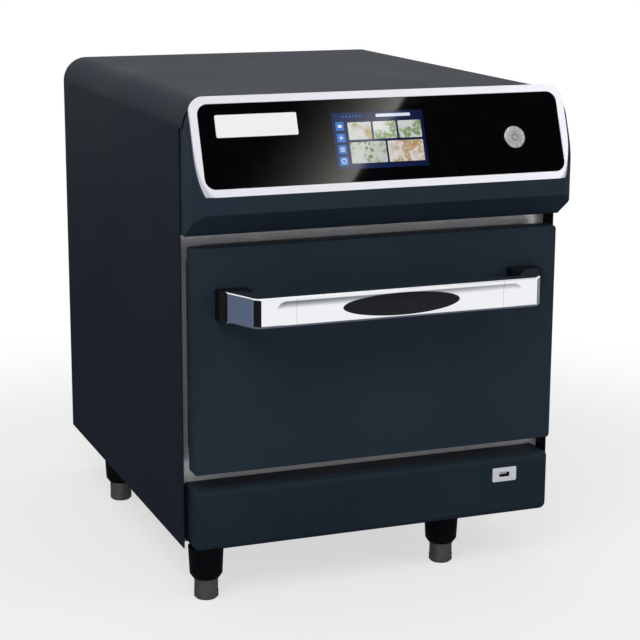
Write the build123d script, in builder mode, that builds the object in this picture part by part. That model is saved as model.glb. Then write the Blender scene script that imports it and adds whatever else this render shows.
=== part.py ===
from build123d import *
import math
import os

os.makedirs("parts", exist_ok=True)

# A counter-top high-speed oven: microwave and hot-air cavity behind a drop-down door.
# Millimetres, +Z up, +X to the right of a user who faces the door, the door faces -Y.
# Depths are written as distances behind the door's front skin and turned into Y by at().

# Driving sizes of the cabinet
casing_width = 444.0
casing_depth = 512.0
casing_setback = 20.0
casing_height = 493.0
casing_edge_radius = 30.0
casing_sheet = 1.5
sheet = 1.5
seat_gap = 0.3
leg_height = 60.0

# Driving sizes of the front
frame_setback = 42.0
door_side_gap = 7.0
door_height = 249.0
door_return = 19.0
door_thickness = 39.0
door_corner_radius = 4.0
door_skin = 1.5
plinth_height = 69.0
plinth_gap = 19.0
plinth_corner_radius = 8.0

# Driving sizes of the control hood
hood_reach = 33.0
hood_gap = 12.5
hood_corner_radius = 20.0
hood_chamfer_rise = 28.0
hood_chamfer_run = 41.0
lip_height = 18.5
hood_wall = 2.0
bezel_length = 107.0
bezel_side_gap = 5.5
bezel_lean = 20.8
bezel_band = 8.2
bezel_thickness = 3.5
bezel_top_radius = 16.0
glass_drop = 0.8
display_width = 106.0
display_length = 62.0
display_x = -7.7
display_s = 53.5
badge_width = 90.0
badge_length = 24.0
badge_inset = 71.5
badge_s = 74.5
badge_thickness = 1.2
button_ring_radius = 12.3
button_barrel_radius = 9.5
button_cap_radius = 8.0
button_inset = 65.5
button_s = 48.8
button_travel = 1.5
button_fit = 0.06

# Driving sizes of the cavity
cavity_side_space = 67.0
cavity_height = 182.0
cavity_depth = 300.0
cavity_floor = 122.0
liner_sheet = 1.5
insulation = 18.0
jet_hole_radius = 5.0
jet_pitch = 30.0
tray_side_gap = 4.0
tray_thickness = 8.0

# Driving sizes of the door's works
hinge_inset = 12.0
hinge_arm_thickness = 4.0
hinge_side_inset = 35.0
hinge_pin_radius = 3.0
hinge_fit = 0.06
plug_depth = 19.0
plug_gap = 6.0
latch_side_inset = 31.0
latch_thickness = 4.0
latch_reach = 23.0

# Driving sizes of the handle
handle_reach = 62.0
handle_height = 34.0
handle_bar_depth = 16.0
handle_side_inset = 53.0
handle_foot_side_inset = 27.0
handle_block_depth = 16.0
handle_end_length = 42.0
handle_drop = 44.0
insert_half_width = 68.0
insert_half_height = 12.5

# Driving sizes of the legs
cup_radius = 19.8
cup_height = 36.0
foot_radius = 13.5
foot_stem_radius = 5.0
foot_stem_fit = 0.06
foot_travel = 15.0
leg_side_inset = 26.0
leg_right_inset = 46.0
leg_front_right_inset = 126.0
leg_front_depth = 22.0
leg_front_right_depth = 36.0
leg_rear_depth = 384.0

# Driving sizes of the works behind the cavity
fan_radius = 38.0
fan_guard_proud = 6.0
blower_radius = 62.0
blower_width = 26.0
shaft_radius = 4.0
shaft_fit = 0.06

# Worked-out widths and places
door_width = casing_width - 2 * door_side_gap
bezel_width = casing_width - 2 * bezel_side_gap
cavity_width = casing_width - 2 * cavity_side_space
tray_width = cavity_width - 2 * tray_side_gap
badge_x = badge_inset - bezel_width / 2
button_x = bezel_width / 2 - button_inset
hinge_arm_x = door_width / 2 - hinge_side_inset
latch_x = door_width / 2 - latch_side_inset
handle_half_width = door_width / 2 - handle_side_inset
handle_foot_half_width = door_width / 2 - handle_foot_side_inset
handle_seam_x = handle_half_width - handle_end_length
leg_front_left = (leg_side_inset - casing_width / 2, leg_front_depth)
leg_front_right = (casing_width / 2 - leg_front_right_inset, leg_front_right_depth)
leg_rear_left = (leg_side_inset - casing_width / 2, leg_rear_depth)
leg_rear_right = (casing_width / 2 - leg_right_inset, leg_rear_depth)
front = -(casing_setback + casing_depth + fan_guard_proud - handle_reach) / 2
base = leg_height
half_casing = casing_width / 2
inner_half = half_casing - casing_sheet
top = base + casing_height
plinth_top = base + plinth_height
door_bottom = plinth_top + plinth_gap
door_top = door_bottom + door_height
hood_bottom = door_top + hood_gap
lip_bottom = hood_bottom + hood_chamfer_rise
lip_top = lip_bottom + lip_height
back = casing_setback + casing_depth
lean = math.radians(bezel_lean)
cavity_low = base + cavity_floor
cavity_high = cavity_low + cavity_height
cavity_half = cavity_width / 2
frame_back = frame_setback + sheet
hinge_z = door_bottom + hinge_inset


def at(depth):
    """Turn a depth behind the door's front skin into a Y value"""
    return front + depth


def block(xs, depths, zs, mode=Mode.ADD):
    """Add a box given by its lowest and highest X, depth and Z"""
    with Locations((xs[0], at(depths[0]), zs[0])):
        Box(
            xs[1] - xs[0], depths[1] - depths[0], zs[1] - zs[0],
            align=(Align.MIN, Align.MIN, Align.MIN), mode=mode,
        )


def rod(center, direction, radius, length, mode=Mode.ADD):
    """Add a cylinder that starts at a point (x, depth, z) and runs along a direction"""
    with Locations(Plane(origin=(center[0], at(center[1]), center[2]), z_dir=direction)):
        Cylinder(radius, length, align=(Align.CENTER, Align.CENTER, Align.MIN), mode=mode)


def front_plane(depth):
    """Plane that faces the user: local X is X, local Y is Z, extrusion runs towards the user"""
    return Plane(origin=(0, at(depth), 0), x_dir=(1, 0, 0), z_dir=(0, -1, 0))


def side_plane(x):
    """Plane across the oven: local X is Y, local Y is Z, extrusion runs towards +X"""
    return Plane(origin=(x, 0, 0), x_dir=(0, 1, 0), z_dir=(1, 0, 0))


def panel_plane(depth):
    """Plane of the leaning control panel, moved back by a depth along its own normal"""
    face = Plane(
        origin=(0, at(-hood_reach), lip_top), x_dir=(1, 0, 0),
        z_dir=(0, -math.cos(lean), math.sin(lean)),
    )
    return face.offset(-depth)


def save(part, label):
    """Label a finished piece and write its STEP file"""
    part.label = label
    export_step(part, f"parts/{label}.step")


# The casing: one bent sheet, top and both sides, whose top reaches forward over the hood
top_reach = 11.0
with BuildPart() as casing_shell:
    with BuildSketch(front_plane(back)) as casing_face:
        with Locations((0, base + casing_height / 2)):
            Rectangle(casing_width, casing_height)
        fillet(casing_face.vertices().group_by(Axis.Y)[-1], casing_edge_radius)
    extrude(amount=casing_depth)
    with BuildSketch(front_plane(casing_setback)) as casing_brow:
        with Locations((0, base + casing_height / 2)):
            Rectangle(casing_width, casing_height)
        fillet(casing_brow.vertices().group_by(Axis.Y)[-1], casing_edge_radius)
        with Locations((0, base + (casing_height - casing_edge_radius) / 2)):
            Rectangle(casing_width, casing_height - casing_edge_radius, mode=Mode.SUBTRACT)
    extrude(amount=top_reach)
    with BuildSketch(front_plane(back)) as casing_hollow:
        with Locations((0, base + (casing_height - casing_sheet) / 2)):
            Rectangle(casing_width - 2 * casing_sheet, casing_height - casing_sheet)
        fillet(casing_hollow.vertices().group_by(Axis.Y)[-1], casing_edge_radius - casing_sheet)
    extrude(amount=casing_depth + top_reach, mode=Mode.SUBTRACT)
save(casing_shell.part, "casing_shell")

# The base pan carries the works: a tray with turned-up edges and air slots
pan_half = inner_half - seat_gap
pan_top = base + sheet
pan_edge = 14.0
slot_width = 5.0
slot_length = 44.0
with BuildPart() as base_pan:
    block((-pan_half, pan_half), (frame_setback, back - sheet), (base, pan_top))
    for side in (-1, 1):
        edge = sorted((side * pan_half, side * (pan_half - sheet)))
        block(edge, (frame_back, back - sheet), (pan_top, base + pan_edge))
    with BuildSketch(Plane.XY.offset(base)):
        with GridLocations(12.0, 70.0, 12, 2):
            SlotOverall(slot_length, slot_width, rotation=90)
    extrude(amount=sheet, mode=Mode.SUBTRACT)
save(base_pan.part, "base_pan")

# The rear panel: fan opening, louvres, gland hole and exhaust grille
fan_x = 102.0 - half_casing
fan_z = base + 130.0
gland_x = half_casing - 62.0
gland_z = base + 60.0
gland_radius = 10.0
rear_depth = back - sheet
rear_corner = casing_edge_radius - casing_sheet
rear_high = top - casing_sheet - seat_gap
louvre_x = 90.0
exhaust_z = top - 60.0
with BuildPart() as rear_panel:
    with BuildSketch(front_plane(back)) as rear_face:
        with Locations((0, (base + rear_high) / 2)):
            Rectangle(2 * pan_half, rear_high - base)
        fillet(rear_face.vertices().group_by(Axis.Y)[-1], rear_corner)
    extrude(amount=sheet)
    with BuildSketch(front_plane(back)):
        with Locations((fan_x, fan_z)):
            Circle(fan_radius + 2)
        with Locations((gland_x, gland_z)):
            Circle(gland_radius)
        with Locations((louvre_x, base + 230.0)):
            with GridLocations(0, 14.0, 1, 9):
                SlotOverall(140.0, slot_width)
        with Locations((0, exhaust_z)):
            with GridLocations(14.0, 0, 18, 1):
                SlotOverall(36.0, slot_width, rotation=90)
    extrude(amount=sheet, mode=Mode.SUBTRACT)
save(rear_panel.part, "rear_panel")

# The stainless front frame round the cavity's mouth, with slots for latches and hinge arms
latch_z = cavity_high + 18.0
latch_half = 4.0
hinge_arm_half = 6.0
frame_high = lip_top
slot_gap = 0.2
with BuildPart() as front_frame:
    block((-pan_half, pan_half), (frame_setback, frame_back), (pan_top, frame_high))
    block(
        (-cavity_half, cavity_half), (frame_setback, frame_back), (cavity_low, cavity_high),
        Mode.SUBTRACT,
    )
    with BuildSketch(front_plane(frame_back)):
        for side in (-1, 1):
            with Locations((side * latch_x, latch_z)):
                Rectangle(latch_thickness + 4, 2 * latch_half + 12)
            with Locations((side * hinge_arm_x, hinge_z)):
                Rectangle(hinge_arm_thickness + 2 * slot_gap, 2 * hinge_arm_half + 2 * slot_gap)
    extrude(amount=sheet, mode=Mode.SUBTRACT)
save(front_frame.part, "front_frame")

# The plinth: a hollow painted cover below the door
usb_x = door_width / 2 - 57.0
usb_z = base + 49.0
usb_width = 30.0
usb_height = 16.5
plinth_depth = frame_setback - seat_gap
with BuildPart() as plinth_cover:
    with BuildSketch(front_plane(plinth_depth)) as plinth_face:
        with Locations((0, base + plinth_height / 2)):
            Rectangle(door_width, plinth_height)
        fillet(plinth_face.vertices().group_by(Axis.Y)[0], plinth_corner_radius)
        fillet(plinth_face.vertices().group_by(Axis.Y)[-1], door_corner_radius)
    extrude(amount=plinth_depth)
    nose = plinth_cover.faces().sort_by(Axis.Y)[0].edges().sort_by(Axis.Z)[0]
    fillet(nose, plinth_corner_radius - 1)
    offset(amount=-sheet, openings=plinth_cover.faces().sort_by(Axis.Y)[-1])
    with BuildSketch(front_plane(sheet)):
        with Locations((usb_x, usb_z)):
            Rectangle(usb_width - 6, usb_height - 6)
    extrude(amount=sheet, mode=Mode.SUBTRACT)
save(plinth_cover.part, "plinth_cover")

# The service port: a bare metal plate on the plinth, and the socket behind it
usb_plate_thickness = 1.0
port_half_width = 6.5
port_half_height = 2.8
with BuildPart() as service_port_plate:
    with BuildSketch(front_plane(0)):
        with Locations((usb_x, usb_z)):
            RectangleRounded(usb_width, usb_height, 1.5)
            Rectangle(2 * port_half_width, 2 * port_half_height, mode=Mode.SUBTRACT)
    extrude(amount=usb_plate_thickness)
save(service_port_plate.part, "service_port_plate")

with BuildPart() as service_port_socket:
    block(
        (usb_x - 9, usb_x + 9), (0, 16), (usb_z - 4.5, usb_z + 4.5),
    )
    block(
        (usb_x - port_half_width, usb_x + port_half_width), (0, 13),
        (usb_z - port_half_height, usb_z + port_half_height), Mode.SUBTRACT,
    )
save(service_port_socket.part, "service_port_socket")


def hood_solid(inset, rear):
    """The hood's outer form, drawn in by an inset on every side that shows"""
    slant = math.tan(lean)
    face_y = -hood_reach + (bezel_thickness + inset) / math.cos(lean)
    high = rear_high - inset
    low = hood_bottom + inset
    with BuildPart() as form:
        with BuildSketch(side_plane(-half_casing)):
            with BuildLine():
                Polyline(
                    (at(rear), low),
                    (at(hood_chamfer_run - hood_reach + inset / 2), low),
                    (at(-hood_reach + inset), lip_bottom + inset / 2),
                    (at(-hood_reach + inset), lip_top),
                    (at(face_y), lip_top),
                    (at(face_y + (high - lip_top) * slant), high),
                    (at(rear), high),
                    close=True,
                )
            make_face()
        extrude(amount=casing_width)
        with BuildSketch(Plane.XY.offset(low)) as plan:
            with Locations((0, at((rear - hood_reach + inset) / 2))):
                Rectangle(2 * (pan_half - inset), rear + hood_reach - inset)
            fillet(plan.vertices().group_by(Axis.Y)[0], hood_corner_radius - inset)
        extrude(amount=high - low, mode=Mode.INTERSECT)
        with BuildSketch(front_plane(rear)) as outline:
            with Locations((0, (low + high) / 2)):
                Rectangle(2 * (pan_half - inset), high - low)
            fillet(outline.vertices().group_by(Axis.Y)[-1], rear_corner - inset)
        extrude(amount=rear + hood_reach, mode=Mode.INTERSECT)
    return form.part


# The hood: a thin-walled housing, open behind, with the panel's seat on its leaning face
# and four bosses inside for the control board
board_gap = 16.0
board_width = 104.0
board_length = 66.0
board_x = -128.0
hood_rear = frame_setback - seat_gap
with BuildPart() as hood_housing:
    add(hood_solid(0, hood_rear))
    add(hood_solid(hood_wall, hood_rear + 1), mode=Mode.SUBTRACT)
    with BuildSketch(panel_plane(bezel_thickness)):
        with Locations((display_x, display_s)):
            Rectangle(display_width + 16, display_length + 12)
        with Locations((button_x, button_s)):
            Circle(button_barrel_radius + 0.5)
    extrude(amount=-2 * hood_wall, mode=Mode.SUBTRACT)
    with BuildSketch(panel_plane(bezel_thickness + hood_wall)):
        with Locations((board_x, display_s)):
            with GridLocations(board_width - 10, board_length - 8, 2, 2):
                Circle(3)
    extrude(amount=-board_gap)
save(hood_housing.part, "hood_housing")

# The bezel: a satin ring round the panel, cut to the hood's rounded corners
window_width = bezel_width - 2 * bezel_band
window_length = bezel_length - 2 * bezel_band
window_s = bezel_length / 2
with BuildPart() as panel_bezel:
    with BuildSketch(panel_plane(0)) as ring:
        with Locations((0, bezel_length / 2)):
            Rectangle(bezel_width, bezel_length)
        fillet(ring.vertices().group_by(Axis.Y)[-1], bezel_top_radius)
    extrude(amount=-bezel_thickness)
    with BuildSketch(Plane.XY.offset(lip_top)) as ring_plan:
        with Locations((0, at(-hood_reach + 50))):
            Rectangle(bezel_width, 100)
        fillet(ring_plan.vertices().group_by(Axis.Y)[0], hood_corner_radius)
    extrude(amount=bezel_length + 10, mode=Mode.INTERSECT)
    with BuildSketch(panel_plane(0)):
        with Locations((0, window_s)):
            RectangleRounded(window_width, window_length, bezel_top_radius - bezel_band / 2)
    extrude(amount=-2 * bezel_thickness, mode=Mode.SUBTRACT)
save(panel_bezel.part, "panel_bezel")

# The black glass in the bezel, with a window for the display and a hole for the button
glass_thickness = bezel_thickness - glass_drop
glass_fit = 0.2
with BuildPart() as panel_glass:
    with BuildSketch(panel_plane(glass_drop)):
        with Locations((0, window_s)):
            RectangleRounded(
                window_width - 2 * glass_fit, window_length - 2 * glass_fit,
                bezel_top_radius - bezel_band / 2 - glass_fit,
            )
        with Locations((display_x, display_s)):
            Rectangle(display_width, display_length, mode=Mode.SUBTRACT)
        with Locations((button_x, button_s)):
            Circle(button_barrel_radius + 0.2, mode=Mode.SUBTRACT)
    extrude(amount=-glass_thickness)
save(panel_glass.part, "panel_glass")

# The touch display: its face in the glass, its body behind
display_body_depth = 9.0
with BuildPart() as touch_display:
    with BuildSketch(panel_plane(glass_drop + 0.3)):
        with Locations((display_x, display_s)):
            Rectangle(display_width - 0.4, display_length - 0.4)
    extrude(amount=-(glass_thickness - 0.3))
    with BuildSketch(panel_plane(bezel_thickness)):
        with Locations((display_x, display_s)):
            Rectangle(display_width + 14, display_length + 10)
    extrude(amount=-display_body_depth)
save(touch_display.part, "touch_display")

# The badge plate, left bare
with BuildPart() as badge_plate:
    with BuildSketch(panel_plane(glass_drop)):
        with Locations((badge_x, badge_s)):
            RectangleRounded(badge_width, badge_length, 1.5)
    extrude(amount=badge_thickness)
save(badge_plate.part, "badge_plate")

# The power button: a ring and barrel, a nut behind the hood's face, and a cap that travels
ring_proud = 1.6
barrel_depth = 22.0
bore_depth = 8.0
with BuildPart() as button_ring:
    with BuildSketch(panel_plane(glass_drop)):
        with Locations((button_x, button_s)):
            Circle(button_ring_radius)
    extrude(amount=ring_proud)
    chamfer(button_ring.faces().sort_by(Axis.Y)[0].edges().sort_by(SortBy.RADIUS)[-1], 0.6)
    with BuildSketch(panel_plane(glass_drop)):
        with Locations((button_x, button_s)):
            Circle(button_barrel_radius)
    extrude(amount=-barrel_depth)
    with BuildSketch(panel_plane(glass_drop - ring_proud)):
        with Locations((button_x, button_s)):
            Circle(button_cap_radius + button_fit)
    extrude(amount=-(bore_depth + ring_proud), mode=Mode.SUBTRACT)
save(button_ring.part, "button_ring")

cap_length = bore_depth - button_travel - 0.5
with BuildPart() as power_button:
    with BuildSketch(panel_plane(glass_drop - ring_proud + 0.1)):
        with Locations((button_x, button_s)):
            Circle(button_cap_radius)
    extrude(amount=-(cap_length + ring_proud))
save(power_button.part, "power_button")

# The control board on the hood's bosses
with BuildPart() as control_board:
    with BuildSketch(panel_plane(bezel_thickness + hood_wall + board_gap)):
        with Locations((board_x, display_s)):
            Rectangle(board_width, board_length)
    extrude(amount=-1.6)
    with BuildSketch(panel_plane(bezel_thickness + hood_wall + board_gap + 1.6)):
        with Locations((board_x, display_s)):
            with GridLocations(24, 0, 4, 1):
                Rectangle(14, 18)
            with Locations((0, -20)):
                Rectangle(90, 8)
    extrude(amount=-7)
save(control_board.part, "control_board")

# The cavity liner: a stainless box open in front, with a round air port in its back and a
# square microwave port in its floor
heater_port_radius = 44.0
port_xs = (-45.0, 45.0)
port_depths = (166.0, 230.0)
port_z = cavity_low + cavity_height / 2
liner_back = frame_back + cavity_depth
with BuildPart() as cavity_liner:
    block(
        (-cavity_half - liner_sheet, cavity_half + liner_sheet),
        (frame_back, liner_back + liner_sheet),
        (cavity_low - liner_sheet, cavity_high + liner_sheet),
    )
    block(
        (-cavity_half, cavity_half), (frame_back, liner_back), (cavity_low, cavity_high),
        Mode.SUBTRACT,
    )
    with BuildSketch(front_plane(liner_back + liner_sheet)):
        with Locations((0, port_z)):
            Circle(heater_port_radius)
    extrude(amount=liner_sheet, mode=Mode.SUBTRACT)
    block(port_xs, port_depths, (cavity_low - liner_sheet, cavity_low), Mode.SUBTRACT)
save(cavity_liner.part, "cavity_liner")

# Mineral wool round the liner, in one moulded jacket
wool_half = cavity_half + liner_sheet + insulation
wool_low = cavity_low - liner_sheet - insulation
wool_high = cavity_high + liner_sheet + insulation
wool_back = liner_back + liner_sheet + insulation
with BuildPart() as insulation_jacket:
    block((-wool_half, wool_half), (frame_back, wool_back), (wool_low, wool_high))
    block(
        (-cavity_half - liner_sheet, cavity_half + liner_sheet),
        (frame_back, liner_back + liner_sheet),
        (cavity_low - liner_sheet, cavity_high + liner_sheet), Mode.SUBTRACT,
    )
    rod((0, wool_back, port_z), (0, -1, 0), heater_port_radius, insulation, Mode.SUBTRACT)
    block(port_xs, port_depths, (wool_low, cavity_low - liner_sheet), Mode.SUBTRACT)
save(insulation_jacket.part, "insulation_jacket")

# The jet plate hangs under the cavity's roof on its turned-up edges
jet_drop = 22.0
jet_half = cavity_half - seat_gap
jet_z = cavity_high - jet_drop
jet_front = frame_back + 20.0
jet_middle = (jet_front + liner_back) / 2
with BuildPart() as jet_plate:
    block((-jet_half, jet_half), (jet_front, liner_back), (jet_z, jet_z + sheet))
    block((-jet_half, jet_half), (jet_front, jet_front + sheet), (jet_z, cavity_high))
    with BuildSketch(Plane.XY.offset(jet_z)):
        with Locations((0, at(jet_middle))):
            with GridLocations(jet_pitch, jet_pitch, 9, 8):
                Circle(jet_hole_radius)
    extrude(amount=sheet, mode=Mode.SUBTRACT)
save(jet_plate.part, "jet_plate")

# Side rails on the cavity's walls carry the cooking tray; a lug at each end stops it
rail_z = cavity_low + 26.0
rail_width = 10.0
rail_height = 6.0
rail_front = frame_back + 24.0
rail_back = liner_back - 16.0
lug_length = 4.0
lug_rise = 14.0
with BuildPart() as tray_rails:
    for side in (-1, 1):
        rail = sorted((side * cavity_half, side * (cavity_half - rail_width)))
        block(rail, (rail_front, rail_back), (rail_z, rail_z + rail_height))
        block(rail, (rail_back - lug_length, rail_back), (rail_z, rail_z + rail_height + lug_rise))
    fillet(tray_rails.edges().filter_by(Axis.Y).group_by(Axis.Z)[-1], 1.0)
save(tray_rails.part, "tray_rails")

# The cooking tray: a ceramic slab with a raised rim, free to lift off its rails
tray_low = rail_z + rail_height + 0.1
tray_high = tray_low + tray_thickness
tray_half = tray_width / 2
tray_front = rail_front + 2.0
tray_back = rail_back - lug_length - 0.5
tray_rim = 8.0
tray_hollow = 3.0
with BuildPart() as cooking_tray:
    block((-tray_half, tray_half), (tray_front, tray_back), (tray_low, tray_high))
    fillet(cooking_tray.edges().filter_by(Axis.Z), tray_rim + 4)
    with BuildSketch(Plane.XY.offset(tray_high)):
        with Locations((0, at((tray_front + tray_back) / 2))):
            RectangleRounded(
                tray_width - 2 * tray_rim, tray_back - tray_front - 2 * tray_rim, tray_rim,
            )
    extrude(amount=-tray_hollow, mode=Mode.SUBTRACT)
save(cooking_tray.part, "cooking_tray")

# The blower box behind the cavity, open towards the liner's round port
box_depth = blower_width + 16.0
box_front = wool_back
box_back = box_front + box_depth
box_half = blower_radius + 14.0
with BuildPart() as blower_box:
    block((-box_half, box_half), (box_front, box_back), (port_z - box_half, port_z + box_half))
    fillet(blower_box.edges().filter_by(Axis.Y), 14)
    offset(amount=-sheet, openings=blower_box.faces().sort_by(Axis.Y)[0])
    rod((0, box_back, port_z), (0, -1, 0), shaft_radius + 1, sheet, Mode.SUBTRACT)
save(blower_box.part, "blower_box")

# The hot-air wheel: hub, back plate and forward blades on the motor's shaft
blade_count = 20
wheel_front = box_front + 6.0
wheel_back = wheel_front + blower_width
hub_radius = 12.0
shaft_end = box_back + 44.0
with BuildPart() as blower_wheel:
    rod((0, wheel_back, port_z), (0, -1, 0), blower_radius - 8, 1.5)
    rod((0, wheel_back, port_z), (0, -1, 0), hub_radius, 14)
    with BuildSketch(front_plane(wheel_back)):
        with Locations((0, port_z)):
            with PolarLocations(blower_radius - 16, blade_count):
                Rectangle(16, 1.2, rotation=24)
    extrude(amount=blower_width)
    rod((0, shaft_end, port_z), (0, -1, 0), shaft_radius, shaft_end - wheel_back)
save(blower_wheel.part, "blower_wheel")

# The heater: three open rings of tube round the wheel, held by the box's front edge
heater_tube = 3.2
heater_radius = blower_radius + 7.0
heater_turns = 3
heater_pitch = 9.0
heater_front = box_front + 8.0
with BuildPart() as heater_coil:
    for turn in range(heater_turns):
        ring_depth = heater_front + heater_pitch * turn
        with BuildSketch(Plane(origin=(heater_radius, at(ring_depth), port_z), z_dir=(0, 0, 1))):
            Circle(heater_tube)
        revolve(axis=Axis((0, at(ring_depth), port_z), (0, 1, 0)), revolution_arc=360)
    block(
        (-2, 2), (heater_front, heater_front + heater_turns * heater_pitch - heater_pitch),
        (port_z - box_half + sheet, port_z - heater_radius + 1),
    )
save(heater_coil.part, "heater_coil")

# The blower's motor on the back of its box
motor_radius = 34.0
motor_length = 46.0
with BuildPart() as blower_motor:
    rod((0, box_back + motor_length, port_z), (0, -1, 0), motor_radius, motor_length)
    chamfer(blower_motor.edges().filter_by(GeomType.CIRCLE), 3)
    rod((0, box_back + motor_length, port_z), (0, -1, 0), shaft_radius + shaft_fit, motor_length,
        Mode.SUBTRACT)
    with BuildSketch(front_plane(box_back + motor_length - 8)):
        with Locations((0, port_z)):
            with PolarLocations(motor_radius, 24):
                Rectangle(3, 2)
    extrude(amount=motor_length - 16, mode=Mode.SUBTRACT)
save(blower_motor.part, "blower_motor")

# Under the cavity: waveguide, magnetron and mode stirrer on one line across the oven
guide_high = wool_low
guide_low = guide_high - 34.0
guide_half_x = 60.0
guide_half_depth = 48.0
guide_middle = sum(port_depths) / 2
stirrer_x = 34.0
aerial_radius = 10.0
with BuildPart() as waveguide:
    block(
        (-guide_half_x, guide_half_x),
        (guide_middle - guide_half_depth, guide_middle + guide_half_depth), (guide_low, guide_high),
    )
    block(
        (-guide_half_x + sheet, guide_half_x - sheet),
        (guide_middle - guide_half_depth + sheet, guide_middle + guide_half_depth - sheet),
        (guide_low + sheet, guide_high), Mode.SUBTRACT,
    )
    rod((-stirrer_x, guide_middle, guide_low), (0, 0, 1), aerial_radius + 2, sheet, Mode.SUBTRACT)
    rod((stirrer_x, guide_middle, guide_low), (0, 0, 1), shaft_radius + 1, sheet, Mode.SUBTRACT)
save(waveguide.part, "waveguide")

magnetron_side = 72.0
fin_count = 7
fin_pitch = 5.0
fin_gap = 3.0
fin_low = pan_top + 8.0
anode_radius = 22.0
with BuildPart() as magnetron:
    block(
        (-stirrer_x - 4 - magnetron_side / 2, -stirrer_x - 4 + magnetron_side / 2),
        (guide_middle - magnetron_side / 2 - 2, guide_middle + magnetron_side / 2 + 2),
        (pan_top, guide_low),
    )
    for fin in range(fin_count):
        fin_start = fin_low + fin_pitch * fin
        block(
            (-stirrer_x - 6 - magnetron_side / 2, -stirrer_x - 2 + magnetron_side / 2),
            (guide_middle - magnetron_side / 2 + 2, guide_middle + magnetron_side / 2 - 2),
            (fin_start, fin_start + fin_gap), Mode.SUBTRACT,
        )
    rod((-stirrer_x - 4, guide_middle, pan_top), (0, 0, 1), anode_radius, guide_low - pan_top)
    rod((-stirrer_x, guide_middle, guide_low), (0, 0, 1), aerial_radius, 20)
save(magnetron.part, "magnetron")

stirrer_z = guide_low + 12.0
stirrer_blade = 20.0
with BuildPart() as mode_stirrer:
    rod((stirrer_x, guide_middle, guide_low - 14), (0, 0, 1), shaft_radius, 40)
    with BuildSketch(Plane.XY.offset(stirrer_z)):
        with Locations((stirrer_x, at(guide_middle))):
            with PolarLocations(stirrer_blade / 2, 3):
                Rectangle(stirrer_blade, 12)
    extrude(amount=1.2)
save(mode_stirrer.part, "mode_stirrer")

stirrer_motor_half = 16.0
with BuildPart() as stirrer_motor:
    block(
        (stirrer_x - stirrer_motor_half, stirrer_x + stirrer_motor_half),
        (guide_middle - stirrer_motor_half, guide_middle + stirrer_motor_half), (pan_top, guide_low),
    )
    fillet(stirrer_motor.edges().filter_by(Axis.Z), 6)
    rod(
        (stirrer_x, guide_middle, guide_low - 16), (0, 0, 1), shaft_radius + shaft_fit, 20,
        Mode.SUBTRACT,
    )
save(stirrer_motor.part, "stirrer_motor")

# The transformer: an upright core with its winding round the middle
core_xs = (96.0, 176.0)
core_depths = (150.0, 220.0)
core_height = 62.0
winding_over = 10.0
with BuildPart() as power_transformer:
    block(core_xs, core_depths, (pan_top, pan_top + core_height))
    block(
        (core_xs[0] + 8, core_xs[1] - 8),
        (core_depths[0] - winding_over, core_depths[1] + winding_over),
        (pan_top + 14, pan_top + core_height - 14),
    )
    fillet(power_transformer.edges().filter_by(Axis.X).group_by(Axis.Z)[-1], 4)
save(power_transformer.part, "power_transformer")

capacitor_x = 150.0
capacitor_depth = 270.0
capacitor_height = 70.0
with BuildPart() as capacitor:
    with BuildSketch(Plane.XY.offset(pan_top)):
        with Locations((capacitor_x, at(capacitor_depth))):
            SlotOverall(52, 34)
    extrude(amount=capacitor_height)
    for side in (-12, 12):
        rod((capacitor_x + side, capacitor_depth, pan_top + capacitor_height), (0, 0, 1), 3, 8)
save(capacitor.part, "capacitor")

# Mains parts at the rear: terminal block and the inlet gland
terminal_xs = (134.0, 194.0)
terminal_depths = (back - 66.0, back - 38.0)
terminal_height = 26.0
terminal_pitch = 14.0
with BuildPart() as terminal_block:
    block(terminal_xs, terminal_depths, (pan_top, pan_top + terminal_height))
    for pole in range(4):
        pole_x = terminal_xs[0] + 9 + terminal_pitch * pole
        rod(
            (pole_x, sum(terminal_depths) / 2, pan_top + terminal_height), (0, 0, -1), 3, 8,
            Mode.SUBTRACT,
        )
save(terminal_block.part, "terminal_block")

gland_bore = 5.5
with BuildPart() as cable_gland:
    rod((gland_x, rear_depth - 10, gland_z), (0, 1, 0), gland_radius, 10 + sheet)
    with BuildSketch(front_plane(rear_depth)):
        with Locations((gland_x, gland_z)):
            RegularPolygon(14, 6)
    extrude(amount=4)
    with BuildSketch(front_plane(back)):
        with Locations((gland_x, gland_z)):
            RegularPolygon(14, 6)
    extrude(amount=-4)
    rod((gland_x, back + fan_guard_proud, gland_z), (0, -1, 0), gland_radius, 3)
    rod((gland_x, back + 10, gland_z), (0, -1, 0), gland_bore, 40, Mode.SUBTRACT)
save(cable_gland.part, "cable_gland")

# The cooling fan inside the rear panel, its rotor and its wire guard outside
fan_depth = 26.0
fan_side = 2 * fan_radius + 10
fan_front = rear_depth - fan_depth
with BuildPart() as fan_frame:
    block(
        (fan_x - fan_side / 2, fan_x + fan_side / 2), (fan_front, rear_depth),
        (fan_z - fan_side / 2, fan_z + fan_side / 2),
    )
    fillet(fan_frame.edges().filter_by(Axis.Y), 5)
    rod((fan_x, rear_depth, fan_z), (0, -1, 0), fan_radius, fan_depth, Mode.SUBTRACT)
    with BuildSketch(front_plane(fan_front + 3)):
        with Locations((fan_x, fan_z)):
            Circle(14)
            Rectangle(2 * fan_radius + 2, 5)
            Rectangle(5, 2 * fan_radius + 2)
    extrude(amount=3)
    rod((fan_x, fan_front + 13, fan_z), (0, -1, 0), shaft_radius, 10)
save(fan_frame.part, "fan_frame")

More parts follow.
